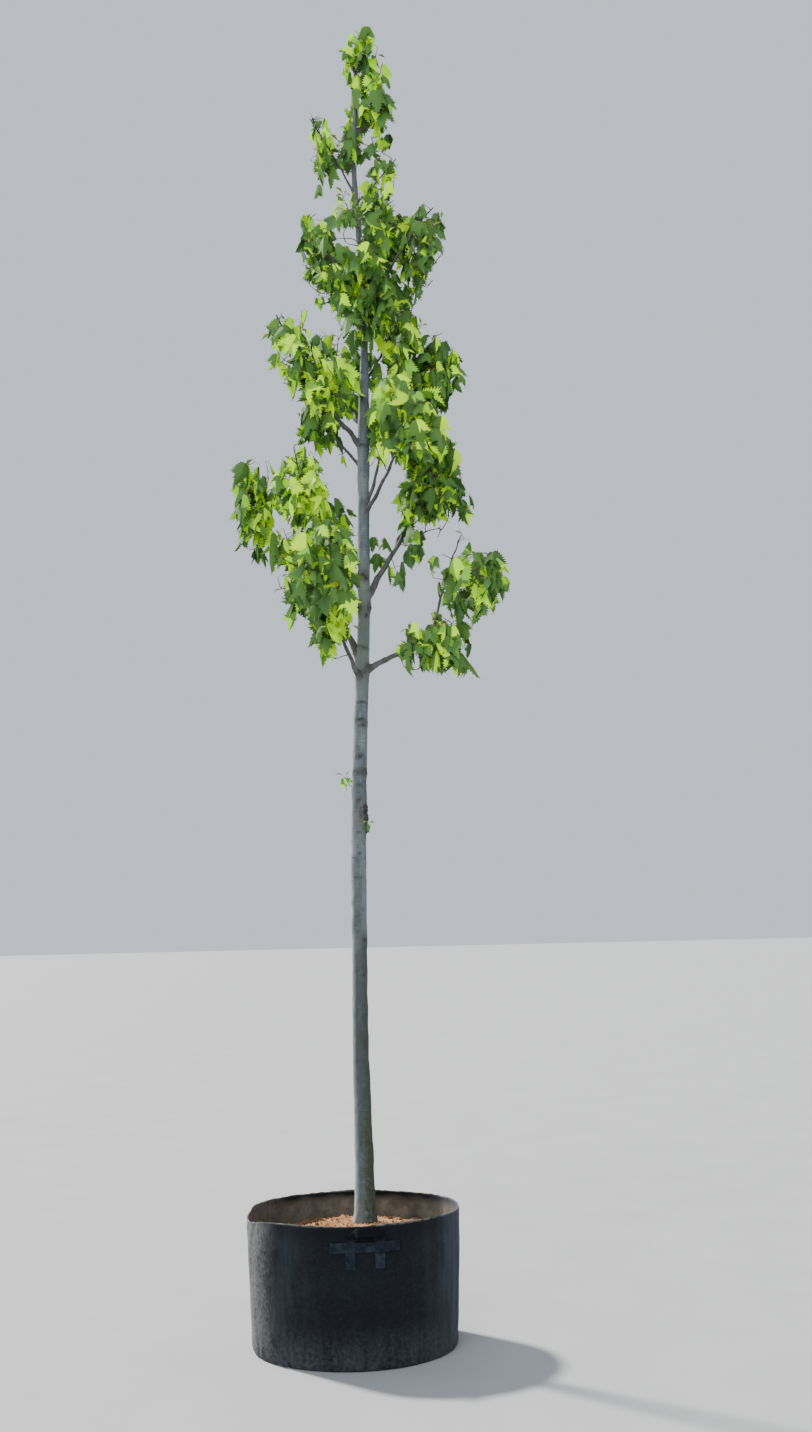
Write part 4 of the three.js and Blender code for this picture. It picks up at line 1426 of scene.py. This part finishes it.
def rim_shift(az):
    return 0.0015 * np.sin(np.radians(5 * az)) - 0.026 * hump(turn(az, 193), 22) * smooth((np.mod(az, 360) - 178) / 7)


def lift(az, z):
    return smooth((z - 0.38) / (BAG_H - 0.38)) * rim_shift(az)


felt_slow = Waves(11, 0.34, 16)
felt_fold = Waves(12, 0.10, 18)
felt_fine = Waves(13, 0.035, 20)


def wall_relief(az, z):
    """Soft hollows, creases and seams of the felt wall."""
    x, y = 0.4 * np.cos(np.radians(az)), 0.4 * np.sin(np.radians(az))
    r = 0.0016 * felt_slow(x, y, z) + 0.0006 * felt_fold(x, y, z * 0.6) + 0.00018 * felt_fine(x, y, z)
    # puckers above the bottom seam
    r += 0.0012 * hump(z - 0.03, 0.035) * np.sin(np.radians(az * 46) + 2 * felt_slow(x, y, 0 * z))
    # side seams: a lapped edge
    for a in (348, 168):
        d = ((az - a + 540) % 360 - 180) * math.pi / 180 * 0.4
        r += 0.0016 * smooth((d + 0.011) / 0.004) * smooth((0.013 - d) / 0.004)
        r -= 0.0008 * hump(d - 0.0015, 0.0012) + 0.0008 * hump(d + 0.007, 0.0012)
    # crease where the foot turns under on the left
    d = ((az - 222 + 540) % 360 - 180) * math.pi / 180 * 0.4
    r -= 0.006 * hump(d - (0.10 - z) * 0.9, 0.010) * smooth((0.11 - z) / 0.05)
    r += 0.004 * hump(d + 0.028 - (0.10 - z) * 0.9, 0.018) * smooth((0.12 - z) / 0.05)
    # the kink beside the sagging rim
    d = ((az - 205 + 540) % 360 - 180) * math.pi / 180 * 0.4
    r -= 0.007 * hump(d, 0.016) * smooth((z - 0.40) / 0.10)
    # where the front of the wall laps over the back
    r += 0.012 * (smooth((np.mod(az, 360) - 179) / 5) - 0.5) * hump(turn(az, 181.5), 9) * smooth((z - 0.38) / 0.10)
    return r


def bag_mesh():
    sides = 320
    az = np.arange(sides) * 360 / sides
    zs = np.concatenate([np.linspace(0.012, 0.12, 16)[:-1], np.linspace(0.12, 0.40, 34)[:-1], np.linspace(0.40, BAG_H, 20)])
    rows = []

    def row(r, z):
        rows.append(np.stack([r * np.cos(np.radians(az)), r * np.sin(np.radians(az)), z * np.ones_like(az)], -1))

    one = np.ones_like(az)
    # underside, out to the rounded foot
    for k in (0.25, 0.5, 0.8, 0.95):
        row(k * (BAG_FOOT - 0.008) * one, 0.0 * one)
    for ang in (0, 30, 60):
        a = math.radians(ang)
        z = 0.012 * (1 - math.cos(a))
        row(wall_radius(0.012) + wall_wander(az, 0.012) - 0.009 * (1 - math.sin(a)) + wall_relief(az, 0.012 * one) * smooth(ang / 60), z * one)
    for z in zs:
        zz = z * one
        row(wall_radius(zz) + wall_wander(az, zz) + wall_relief(az, zz), zz + lift(az, zz))
    # rounded raw edge, slightly ragged
    edge = 0.0009 * felt_fine(np.cos(np.radians(az)) * 0.4, np.sin(np.radians(az)) * 0.4, 0 * az) + 0.0009 * np.sin(np.radians(az * 9))
    top = BAG_H * one
    rw = wall_radius(top) + wall_wander(az, top) + wall_relief(az, top)
    for ang in (35, 90, 145):
        a = math.radians(ang)
        row(rw - BAG_WALL / 2 * (1 - math.cos(a)), top + lift(az, top) + 0.0018 * math.sin(a) + edge)
    for z in zs[::-1][:26]:
        zz = z * one
        row(wall_radius(zz) + wall_wander(az, zz) + 0.85 * wall_relief(az, zz) - BAG_WALL, zz + lift(az, zz))
    for z, k in ((0.2, 1), (0.006, 1), (0.005, 0.6)):
        row((wall_radius(z) + wall_wander(az, z * one) - BAG_WALL) * k, z * one)
    P = np.array(rows)
    verts = P.reshape(-1, 3)
    n = len(verts)
    verts = np.concatenate([verts, [[0, 0, 0]], [[0, 0, 0.005]]])
    j = np.arange(sides)
    k = (j + 1) % sides
    last = (len(rows) - 1) * sides
    tris = np.concatenate([np.stack([k, j, np.full(sides, n)], -1), np.stack([last + j, last + k, np.full(sides, n + 1)], -1)])
    return verts, tris, grid_quads(len(rows), sides)


bag_pile = Pile()
bag_pile.add(*bag_mesh())
bag_ob = bag_pile.make("grow_bag")

s = Shader("felt", 0.95)
X, Y, Z = s.xyz()[0], s.xyz()[1], s.xyz()[2]
fuzz = s.noise(700, 4, 0.7)
fibre = s.noise(1, 4, 0.7, 1.5, s.mapped((520, 520, 900)))
mottle = s.noise(75, 5, 0.7)
cloud = s.noise(5.0, 5, 0.62, 0.4)
streak = s.noise(1, 5, 0.65, 0.3, s.mapped((34, 34, 3.2)))
base = s.ramp(s.math("ADD", s.math("MULTIPLY", mottle, 0.6), s.math("MULTIPLY", fuzz, 0.4)), [(0.32, (0.0018, 0.0027, 0.0048)), (0.5, (0.0062, 0.0082, 0.0130)), (0.68, (0.019, 0.0235, 0.033))])
# a bluish bloom in clouds, dust near the ground, and dust thickest on the -X side, which is also painted paler as a
# painted highlight where the sun falls
bloom = s.remap(s.math("ADD", s.math("MULTIPLY", cloud, 0.55), s.math("MULTIPLY", streak, 0.45)), 0.46, 0.68, 0, 0.55)
aside = s.remap(s.math("ABSOLUTE", s.math("SUBTRACT", X, 0.03)), 0.10, 0.30)
bloom = s.math("MULTIPLY", bloom, s.remap(aside, 0, 1, 0.45, 1))
base = s.mixc(bloom, base, (0.030, 0.038, 0.053))
base = s.mixc(s.remap(aside, 1, 0, 0, 0.4), base, (0.0010, 0.0015, 0.0026))
base = s.mixc(s.math("MULTIPLY", s.remap(Z, 0.43, 0.47), 0.5), base, (0.0012, 0.0018, 0.0030))
base = s.mixc(s.math("MULTIPLY", s.remap(X, 0.31, 0.40), s.remap(streak, 0.35, 0.62, 0.3, 0.85)), base, (0.060, 0.075, 0.104))
# painted highlight with dust: the -X side, which the sun falls on, is painted paler
left = s.remap(X, -0.285, -0.405)
grain = s.remap(s.math("ADD", s.math("MULTIPLY", mottle, 0.5), s.math("ADD", s.math("MULTIPLY", streak, 0.3), s.math("MULTIPLY", cloud, 0.2))), 0.40, 0.62, 0.05, 0.85)
base = s.mixc(s.math("MULTIPLY", left, grain), base, (0.232, 0.232, 0.226))
low = s.math("MULTIPLY", s.remap(Z, 0.16, 0.0), grain)
base = s.mixc(s.math("MULTIPLY", low, 0.8), base, (0.074, 0.083, 0.090))
specks = s.math("MULTIPLY", s.remap(s.voronoi(80), 0.13, 0.06, 0, 0.6), s.remap(s.noise(11), 0.5, 0.66))
base = s.mixc(specks, base, (0.13, 0.125, 0.11))
# inside: dark near the rim, a dusty band below it
rad2 = s.math("SQRT", s.math("ADD", s.math("POWER", X, 2.0), s.math("POWER", Y, 2.0)))
geo = s.node("ShaderNodeNewGeometry")
nx = s.node("ShaderNodeSeparateXYZ")
s.link(geo.outputs["True Normal"], nx.inputs[0])
inward = s.math("ADD", s.math("MULTIPLY", nx.outputs[0], X), s.math("MULTIPLY", nx.outputs[1], Y))
edge = s.math("ADD", Z, s.math("MULTIPLY", s.math("SUBTRACT", s.noise(12, 4), 0.5), 0.05))
inside = s.math("MULTIPLY", s.remap(inward, -0.05, -0.2), s.remap(edge, 0.495, 0.465))
stain = s.ramp(s.math("ADD", s.math("MULTIPLY", cloud, 0.5), s.math("MULTIPLY", s.noise(24, 5, 0.65), 0.5)), [(0.32, (0.040, 0.034, 0.028)), (0.5, (0.105, 0.090, 0.070)), (0.66, (0.185, 0.160, 0.128))])
base = s.mixc(s.math("MULTIPLY", inside, 0.9), base, stain)
rim = s.math("MULTIPLY", s.remap(Z, 0.4985, 0.5045), s.remap(s.noise(40, 3), 0.38, 0.6, 0.15, 0.75))
base = s.mixc(rim, base, (0.17, 0.16, 0.145))
s.colour(base)
s.b.inputs["Sheen Weight"].default_value = 0.04
s.b.inputs["Sheen Roughness"].default_value = 0.6
s.b.inputs["Specular IOR Level"].default_value = 0.14
s.normal(s.bump(s.math("ADD", s.math("MULTIPLY", mottle, 0.8), s.math("MULTIPLY", fibre, 0.5)), 0.55, 0.002))
finish_piece(bag_ob, s, "bag_fabric", "bag")

# ------------------------------------------------------------------- handles


def on_wall(az0, u, z, out):
    a = az0 + np.degrees(u / BAG_RIM)
    r = wall_radius(z) + wall_wander(a, z) + 0.0006 + out
    return np.stack([r * np.cos(np.radians(a)), r * np.sin(np.radians(a)), z], -1)


def ribbon(centre, across, normal, width, thick, ribs=5):
    """A woven strip: centre line points, across and normal directions."""
    n = len(centre)
    w = np.linspace(-0.5, 0.5, 2 * ribs + 1)
    edge = 0.5 * thick
    belly = 0.12 * thick * np.cos(w * 2 * math.pi * ribs)
    topw = [(x, edge * (1 - 0.55 * smooth((abs(x) - 0.44) / 0.06)) + b) for x, b in zip(w, belly)]
    prof = topw + [(x, -h) for x, h in topw[::-1]]
    prof = np.array(prof)
    ring = centre[:, None] + across[:, None] * (prof[None, :, 0:1] * width[:, None, None]) + normal[:, None] * prof[None, :, 1:2]
    m = len(prof)
    quads = grid_quads(n, m)
    verts = ring.reshape(-1, 3)
    k = len(verts)
    caps = []
    for start, rev in ((0, False), ((n - 1) * m, True)):
        for i in range(m // 2 - 1):
            q = [start + i, start + m - 1 - i, start + m - 2 - i, start + i + 1]
            caps.append(q[::-1] if rev else q)
    return verts, None, np.concatenate([quads, np.array(caps)])


def handle(az0):
    made = Pile()
    thread = Pile()
    e = 1e-4

    def patch(u0, u1, z0, z1, out, flip=False):
        """A flat strip on the wall; runs along u, or along z when flip."""
        n = 26
        t = np.linspace(0, 1, n)
        if flip:
            z, u = mix(z0, z1, t), np.full(n, (u0 + u1) / 2)
            width = np.full(n, u1 - u0)
        else:
            u, z = mix(u0, u1, t), np.full(n, (z0 + z1) / 2)
            width = np.full(n, z1 - z0)
        c = on_wall(az0, u, z, np.full(n, out))
        du = unit(on_wall(az0, u + e, z, np.full(n, out)) - c)
        dz = unit(on_wall(az0, u, z + e, np.full(n, out)) - c)
        nrm = unit(np.cross(du, dz))
        made.add(*ribbon(c, du if flip else -dz, nrm, width, 0.0022, 6))

    def stitches(pts, out):
        """Short threads along a line of (u, z) points."""
        pts = np.array(pts, float)
        seg = np.linalg.norm(np.diff(pts, axis=0), axis=1)
        total = np.concatenate([[0], np.cumsum(seg)])
        step = 0.0042
        for k in range(int(total[-1] / step)):
            s0 = (k + 0.15) * step
            s1 = s0 + step * 0.7
            q = np.linspace(s0, s1, 4)
            u = np.interp(q, total, pts[:, 0])
            z = np.interp(q, total, pts[:, 1])
            o = out + 0.0006 * np.sin(np.linspace(0, math.pi, 4))
            thread.add(*tube(on_wall(az0, u, z, o), np.full(4, 0.00042), 4))

    # tabs under the band, then the band
    for side in (-0.054, 0.054):
        patch(side - 0.0185, side + 0.0185, 0.353, 0.463, 0.0012, flip=True)
    patch(-0.128, 0.128, 0.4115, 0.4485, 0.0036)
    for z in (0.4145, 0.4455):
        stitches([(-0.124, z), (0.124, z)], 0.0050)
    for u in (-0.124, 0.124):
        stitches([(u, 0.4145), (u, 0.4455)], 0.0050)
    for side in (-0.054, 0.054):
        a, b = side - 0.0155, side + 0.0155
        stitches([(a, 0.357), (b, 0.357), (b, 0.408), (a, 0.408), (a, 0.357)], 0.0026)
        stitches([(a, 0.357), (b, 0.408)], 0.0026)
        stitches([(a, 0.408), (b, 0.357)], 0.0026)
        stitches([(a, 0.4145), (b, 0.4455)], 0.0050)
        stitches([(a, 0.4455), (b, 0.4145)], 0.0050)
    # the grip, in wall coordinates (u, z, out)
    foot, top, out, half = 0.054, 0.485, 0.037, 0.029
    knee = (foot + half) / 2
    key = np.array(
        [
            (-foot, 0.440, 0.0012), (-foot, 0.453, 0.0026), (-knee, 0.4685, out * 0.45), (-half, top, out * 0.92),
            (0, top + 0.002, out),
            (half, top, out * 0.92), (knee, 0.4685, out * 0.45), (foot, 0.453, 0.0026), (foot, 0.440, 0.0012),
        ]
    )  # fmt: skip
    n = 64
    t = np.linspace(0, len(key) - 1, n)
    q = []
    for x in t:
        i = min(int(x), len(key) - 2)
        f = x - i
        p0, p1, p2, p3 = key[max(i - 1, 0)], key[i], key[i + 1], key[min(i + 2, len(key) - 1)]
        q.append(0.5 * ((2 * p1) + (p2 - p0) * f + (2 * p0 - 5 * p1 + 4 * p2 - p3) * f**2 + (3 * p1 - p0 - 3 * p2 + p3) * f**3))
    q = np.array(q)
    tt = np.linspace(0, 1, n)
    flat = smooth(np.abs(tt - 0.5) * 4.4 - 0.45)
    along = unit(np.gradient(q, axis=0))
    sgn = np.where(tt < 0.5, -1.0, 1.0)
    across = np.stack([sgn * flat, 0.95 * (1 - flat), -0.35 * (1 - flat)], -1)
    across = unit(across - along * (across * along).sum(-1, keepdims=True))
    normal = unit(np.cross(along, across))
    width = mix(0.030, 0.037, flat)
    c = on_wall(az0, q[:, 0], q[:, 1], q[:, 2])
    eu = unit(on_wall(az0, q[:, 0] + e, q[:, 1], q[:, 2]) - c)
    eo = unit(on_wall(az0, q[:, 0], q[:, 1], q[:, 2] + e) - c)
    ez = np.tile(UP, (n, 1))

    def world(v):
        return unit(v[:, 0:1] * eu + v[:, 1:2] * ez + v[:, 2:3] * eo)

    made.add(*ribbon(c, world(across), world(normal), width, 0.0026, 6))
    return made, thread


s = Shader("webbing", 0.8)
s.b.inputs["Specular IOR Level"].default_value = 0.12
rib = s.wave(1, 0.2, "DIAGONAL", s.mapped((520, 520, 520)), 1)
weave = s.voronoi(700)
base = s.mixc(s.remap(s.noise(60, 4), 0.4, 0.65), (0.0075, 0.0105, 0.0172), (0.0165, 0.0225, 0.0345))
base = s.mixc(s.math("MULTIPLY", s.remap(s.noise(17, 5), 0.50, 0.66), 0.5), base, (0.048, 0.064, 0.084))
# painted shade: the grip above the band is painted nearly black, as if in shade
base = s.mixc(s.remap(s.xyz()[2], 0.452, 0.464, 0, 0.86), base, (0.0012, 0.0018, 0.0028))
s.colour(base)
s.normal(s.bump(s.math("ADD", rib, s.math("MULTIPLY", weave, 0.8)), 0.6, 0.0008))
web_shader = s
thread_shader = plain("thread", (0.040, 0.050, 0.064), 0.7)
for az0, node in ((277.5, "handle_front"), (97.5, "handle_back")):
    made, thread = handle(az0)
    finish_piece(made.make("webbing_" + node[7:]), web_shader, "webbing", node)
    finish_piece(thread.make("stitches_" + node[7:]), thread_shader, "webbing")

# ---------------------------------------------------------------------- soil


def soil_height(x, y):
    r = np.hypot(x, y)
    t = (r - SOIL_PAD) / (SOIL_MOUND - SOIL_PAD)
    bumps = 0.004 * np.sin(x / 0.037 + 1) * np.sin(y / 0.043) * smooth(t * 3)
    return mix(SOIL_TOP, SOIL_EDGE, smooth(t)) + np.where(t > 0, bumps, 0)


grain = [Waves(21, 0.06, 16), Waves(22, 0.02, 20), Waves(23, 0.008, 24)]


def soil_top(x, y):
    z = soil_height(x, y)
    r = np.hypot(x - 0.041, y)
    away = smooth((r - 0.045) / 0.05)
    z = z + away * (0.003 * grain[0](x, y, 0 * x) + 0.0012 * grain[1](x, y, 0 * x)) + 0.0006 * grain[2](x, y, 0 * x)
    return z


def soil_mesh():
    sides, rings = 236, 80
    az = np.arange(sides) * 360 / sides
    share = np.linspace(0, 1, rings + 1)[1:] ** 0.9
    edge = wall_radius(SOIL_EDGE) + wall_wander(az, SOIL_EDGE + 0 * az) - BAG_WALL - 0.001
    rows = []
    for k in share:
        r = edge * k
        x, y = r * np.cos(np.radians(az)), r * np.sin(np.radians(az))
        rows.append(np.stack([x, y, soil_top(x, y)], -1))
    for z in (0.33, 0.2, 0.06, 0.006):
        r = wall_radius(z) + wall_wander(az, z + 0 * az) - BAG_WALL - 0.0025
        rows.append(np.stack([r * np.cos(np.radians(az)), r * np.sin(np.radians(az)), z + 0 * az], -1))
    P = np.array(rows)
    verts = P.reshape(-1, 3)
    n = len(verts)
    verts = np.concatenate([verts, [[0, 0, float(soil_top(np.array(0.0), np.array(0.0)))]], [[0, 0, 0.006]]])
    j = np.arange(sides)
    k = (j + 1) % sides
    last = (len(rows) - 1) * sides
    quads = grid_quads(len(rows), sides)[:, ::-1]
    tris = np.concatenate([np.stack([j, k, np.full(sides, n)], -1), np.stack([last + k, last + j, np.full(sides, n + 1)], -1)])
    return verts, tris, quads


soil_pile = Pile()
soil_pile.add(*soil_mesh())
soil_ob = soil_pile.make("soil")

# crumbs and small clods lying on the mix
import bmesh

bm = bmesh.new()
bmesh.ops.create_icosphere(bm, subdivisions=1, radius=1)
ball_v = np.array([v.co[:] for v in bm.verts])
ball_t = np.array([[v.index for v in f.verts] for f in bm.faces])
bm.free()
bm = bmesh.new()
bmesh.ops.create_icosphere(bm, subdivisions=2, radius=1)
ball2_v = np.array([v.co[:] for v in bm.verts])
ball2_t = np.array([[v.index for v in f.verts] for f in bm.faces])
bm.free()
rng = np.random.default_rng(77)
crumbs, dark_crumbs = Pile(), Pile()
placed = 0
while placed < 2500:
    a = rng.uniform(0, 2 * math.pi)
    r = 0.388 * math.sqrt(rng.uniform(0, 1))
    x, y = r * math.cos(a), r * math.sin(a)
    if math.hypot(x - 0.041, y) < 0.05:
        continue
    size = min(0.0014 + rng.exponential(0.0012), 0.0070)
    if r + size > 0.385:
        continue
    if r > 0.30 and rng.random() < 0.45:
        continue
    v, t = (ball2_v, ball2_t) if size > 0.0068 else (ball_v, ball_t)
    k = rng.normal(0, 0.18, len(v))
    d = v * (1 + k[:, None]) * size * rng.uniform(0.7, 1.25, 3)
    th = rng.uniform(0, 6.28)
    rot = np.array([[math.cos(th), -math.sin(th), 0], [math.sin(th), math.cos(th), 0], [0, 0, 1]])
    z = float(soil_top(np.array(x), np.array(y)))
    (dark_crumbs if rng.random() < (0.85 if x > 0.21 or r > 0.30 else 0.3) else crumbs).add(d @ rot.T + np.array([x, y, z + size * 0.35]), t)
    placed += 1
crumb_ob = crumbs.make("soil_crumbs", smooth_shade=False)
dark_ob = dark_crumbs.make("soil_crumbs_dark", smooth_shade=False)


def soil_shader(name):
    s = Shader(name, 0.98)
    X, Y, Z = s.xyz()[0], s.xyz()[1], s.xyz()[2]
    g = s.noise(140, 5, 0.65)
    big = s.noise(22, 4, 0.6)
    base = s.ramp(g, [(0.30, (0.072, 0.032, 0.014)), (0.5, (0.285, 0.138, 0.055)), (0.70, (0.55, 0.300, 0.128))])
    base = s.mixc(s.remap(big, 0.45, 0.66, 0, 0.55), base, (0.44, 0.25, 0.125))
    rad = s.math("SQRT", s.math("ADD", s.math("POWER", X, 2.0), s.math("POWER", Y, 2.0)))
    edge = s.remap(s.math("ADD", rad, s.math("MULTIPLY", s.noise(16, 3), 0.07)), 0.27, 0.345)
    base = s.mixc(s.math("MULTIPLY", edge, 0.8), base, s.ramp(g, [(0.3, (0.035, 0.02, 0.014)), (0.7, (0.10, 0.062, 0.04))]))
    # painted light: the mix just right of the stem is painted lighter, against the stem's shadow
    painted_light_beside_stem = s.math("MULTIPLY", s.remap(X, 0.06, 0.11), s.remap(X, 0.23, 0.17))
    base = s.mixc(s.math("MULTIPLY", painted_light_beside_stem, 0.45), base, (0.72, 0.41, 0.20))
    gone = s.remap(s.math("ADD", X, s.math("MULTIPLY", s.noise(14, 3), 0.06)), 0.215, 0.275)
    base = s.mixc(s.math("MULTIPLY", gone, 0.7), base, s.ramp(g, [(0.3, (0.040, 0.026, 0.018)), (0.7, (0.12, 0.085, 0.060))]))
    s.colour(base)
    s.b.inputs["Specular IOR Level"].default_value = 0.2
    s.normal(s.bump(s.math("ADD", g, s.math("MULTIPLY", s.noise(500, 3), 0.5)), 0.6, 0.0025))
    return s


finish_piece(soil_ob, soil_shader("soil"), "soil", "root_ball")
finish_piece(crumb_ob, plain("soil_crumb", (0.40, 0.205, 0.084), 0.95, 0.1), "soil")
finish_piece(dark_ob, plain("soil_crumb_dark", (0.12, 0.058, 0.030), 0.95, 0.1), "soil")

# --------------------------------------------------------------- floor, light

turns = np.radians(np.arange(96) * 3.75)
floor_v = [(600 * math.cos(a), 600 * math.sin(a), -0.0006) for a in turns] + [(0, 0, -0.0006)]
floor = mesh_from("floor", floor_v, tris=[[i, (i + 1) % 96, 96] for i in range(96)])
fs = Shader("floor", 0.85)
fs.colour(fs.mixc(fs.remap(fs.noise(2.2, 4), 0.3, 0.7), (0.32, 0.325, 0.33), (0.345, 0.35, 0.355)))
floor.data.materials.append(fs.m)

world = bpy.data.worlds.new("studio")
world.use_nodes = True
bpy.context.scene.world = world
bg = world.node_tree.nodes["Background"]
bg.inputs["Color"].default_value = (0.80, 0.875, 0.97, 1)
bg.inputs["Strength"].default_value = 0.8 * LIGHT


def lamp(name, towards, strength, angle, colour):
    """Even light from one side: towards is the way to the lamp."""
    d = bpy.data.lights.new(name, "SUN")
    d.energy = strength
    d.angle = math.radians(angle)
    d.color = colour
    ob = bpy.data.objects.new(name, d)
    ob.location = Vector(towards) * 8
    ob.rotation_euler = Vector(towards).to_track_quat("Z", "Y").to_euler()
    bpy.context.scene.collection.objects.link(ob)


lamp("key", SUN, 9.0 * LIGHT, 5, (1.0, 0.97, 0.91))
lamp("fill", (-0.25, -0.82, 0.50), 1.9 * LIGHT, 45, (0.97, 0.985, 1.0))

for label, n in (("bark", bark), ("twigs", twig_pile), ("stalks", stalk_pile), ("young", young_pile), ("crumbs", crumbs)):
    print(label, n.triangles())
for k in upper:
    print("upper", k, upper[k].triangles())
for k in under:
    print("under", k, under[k].triangles())
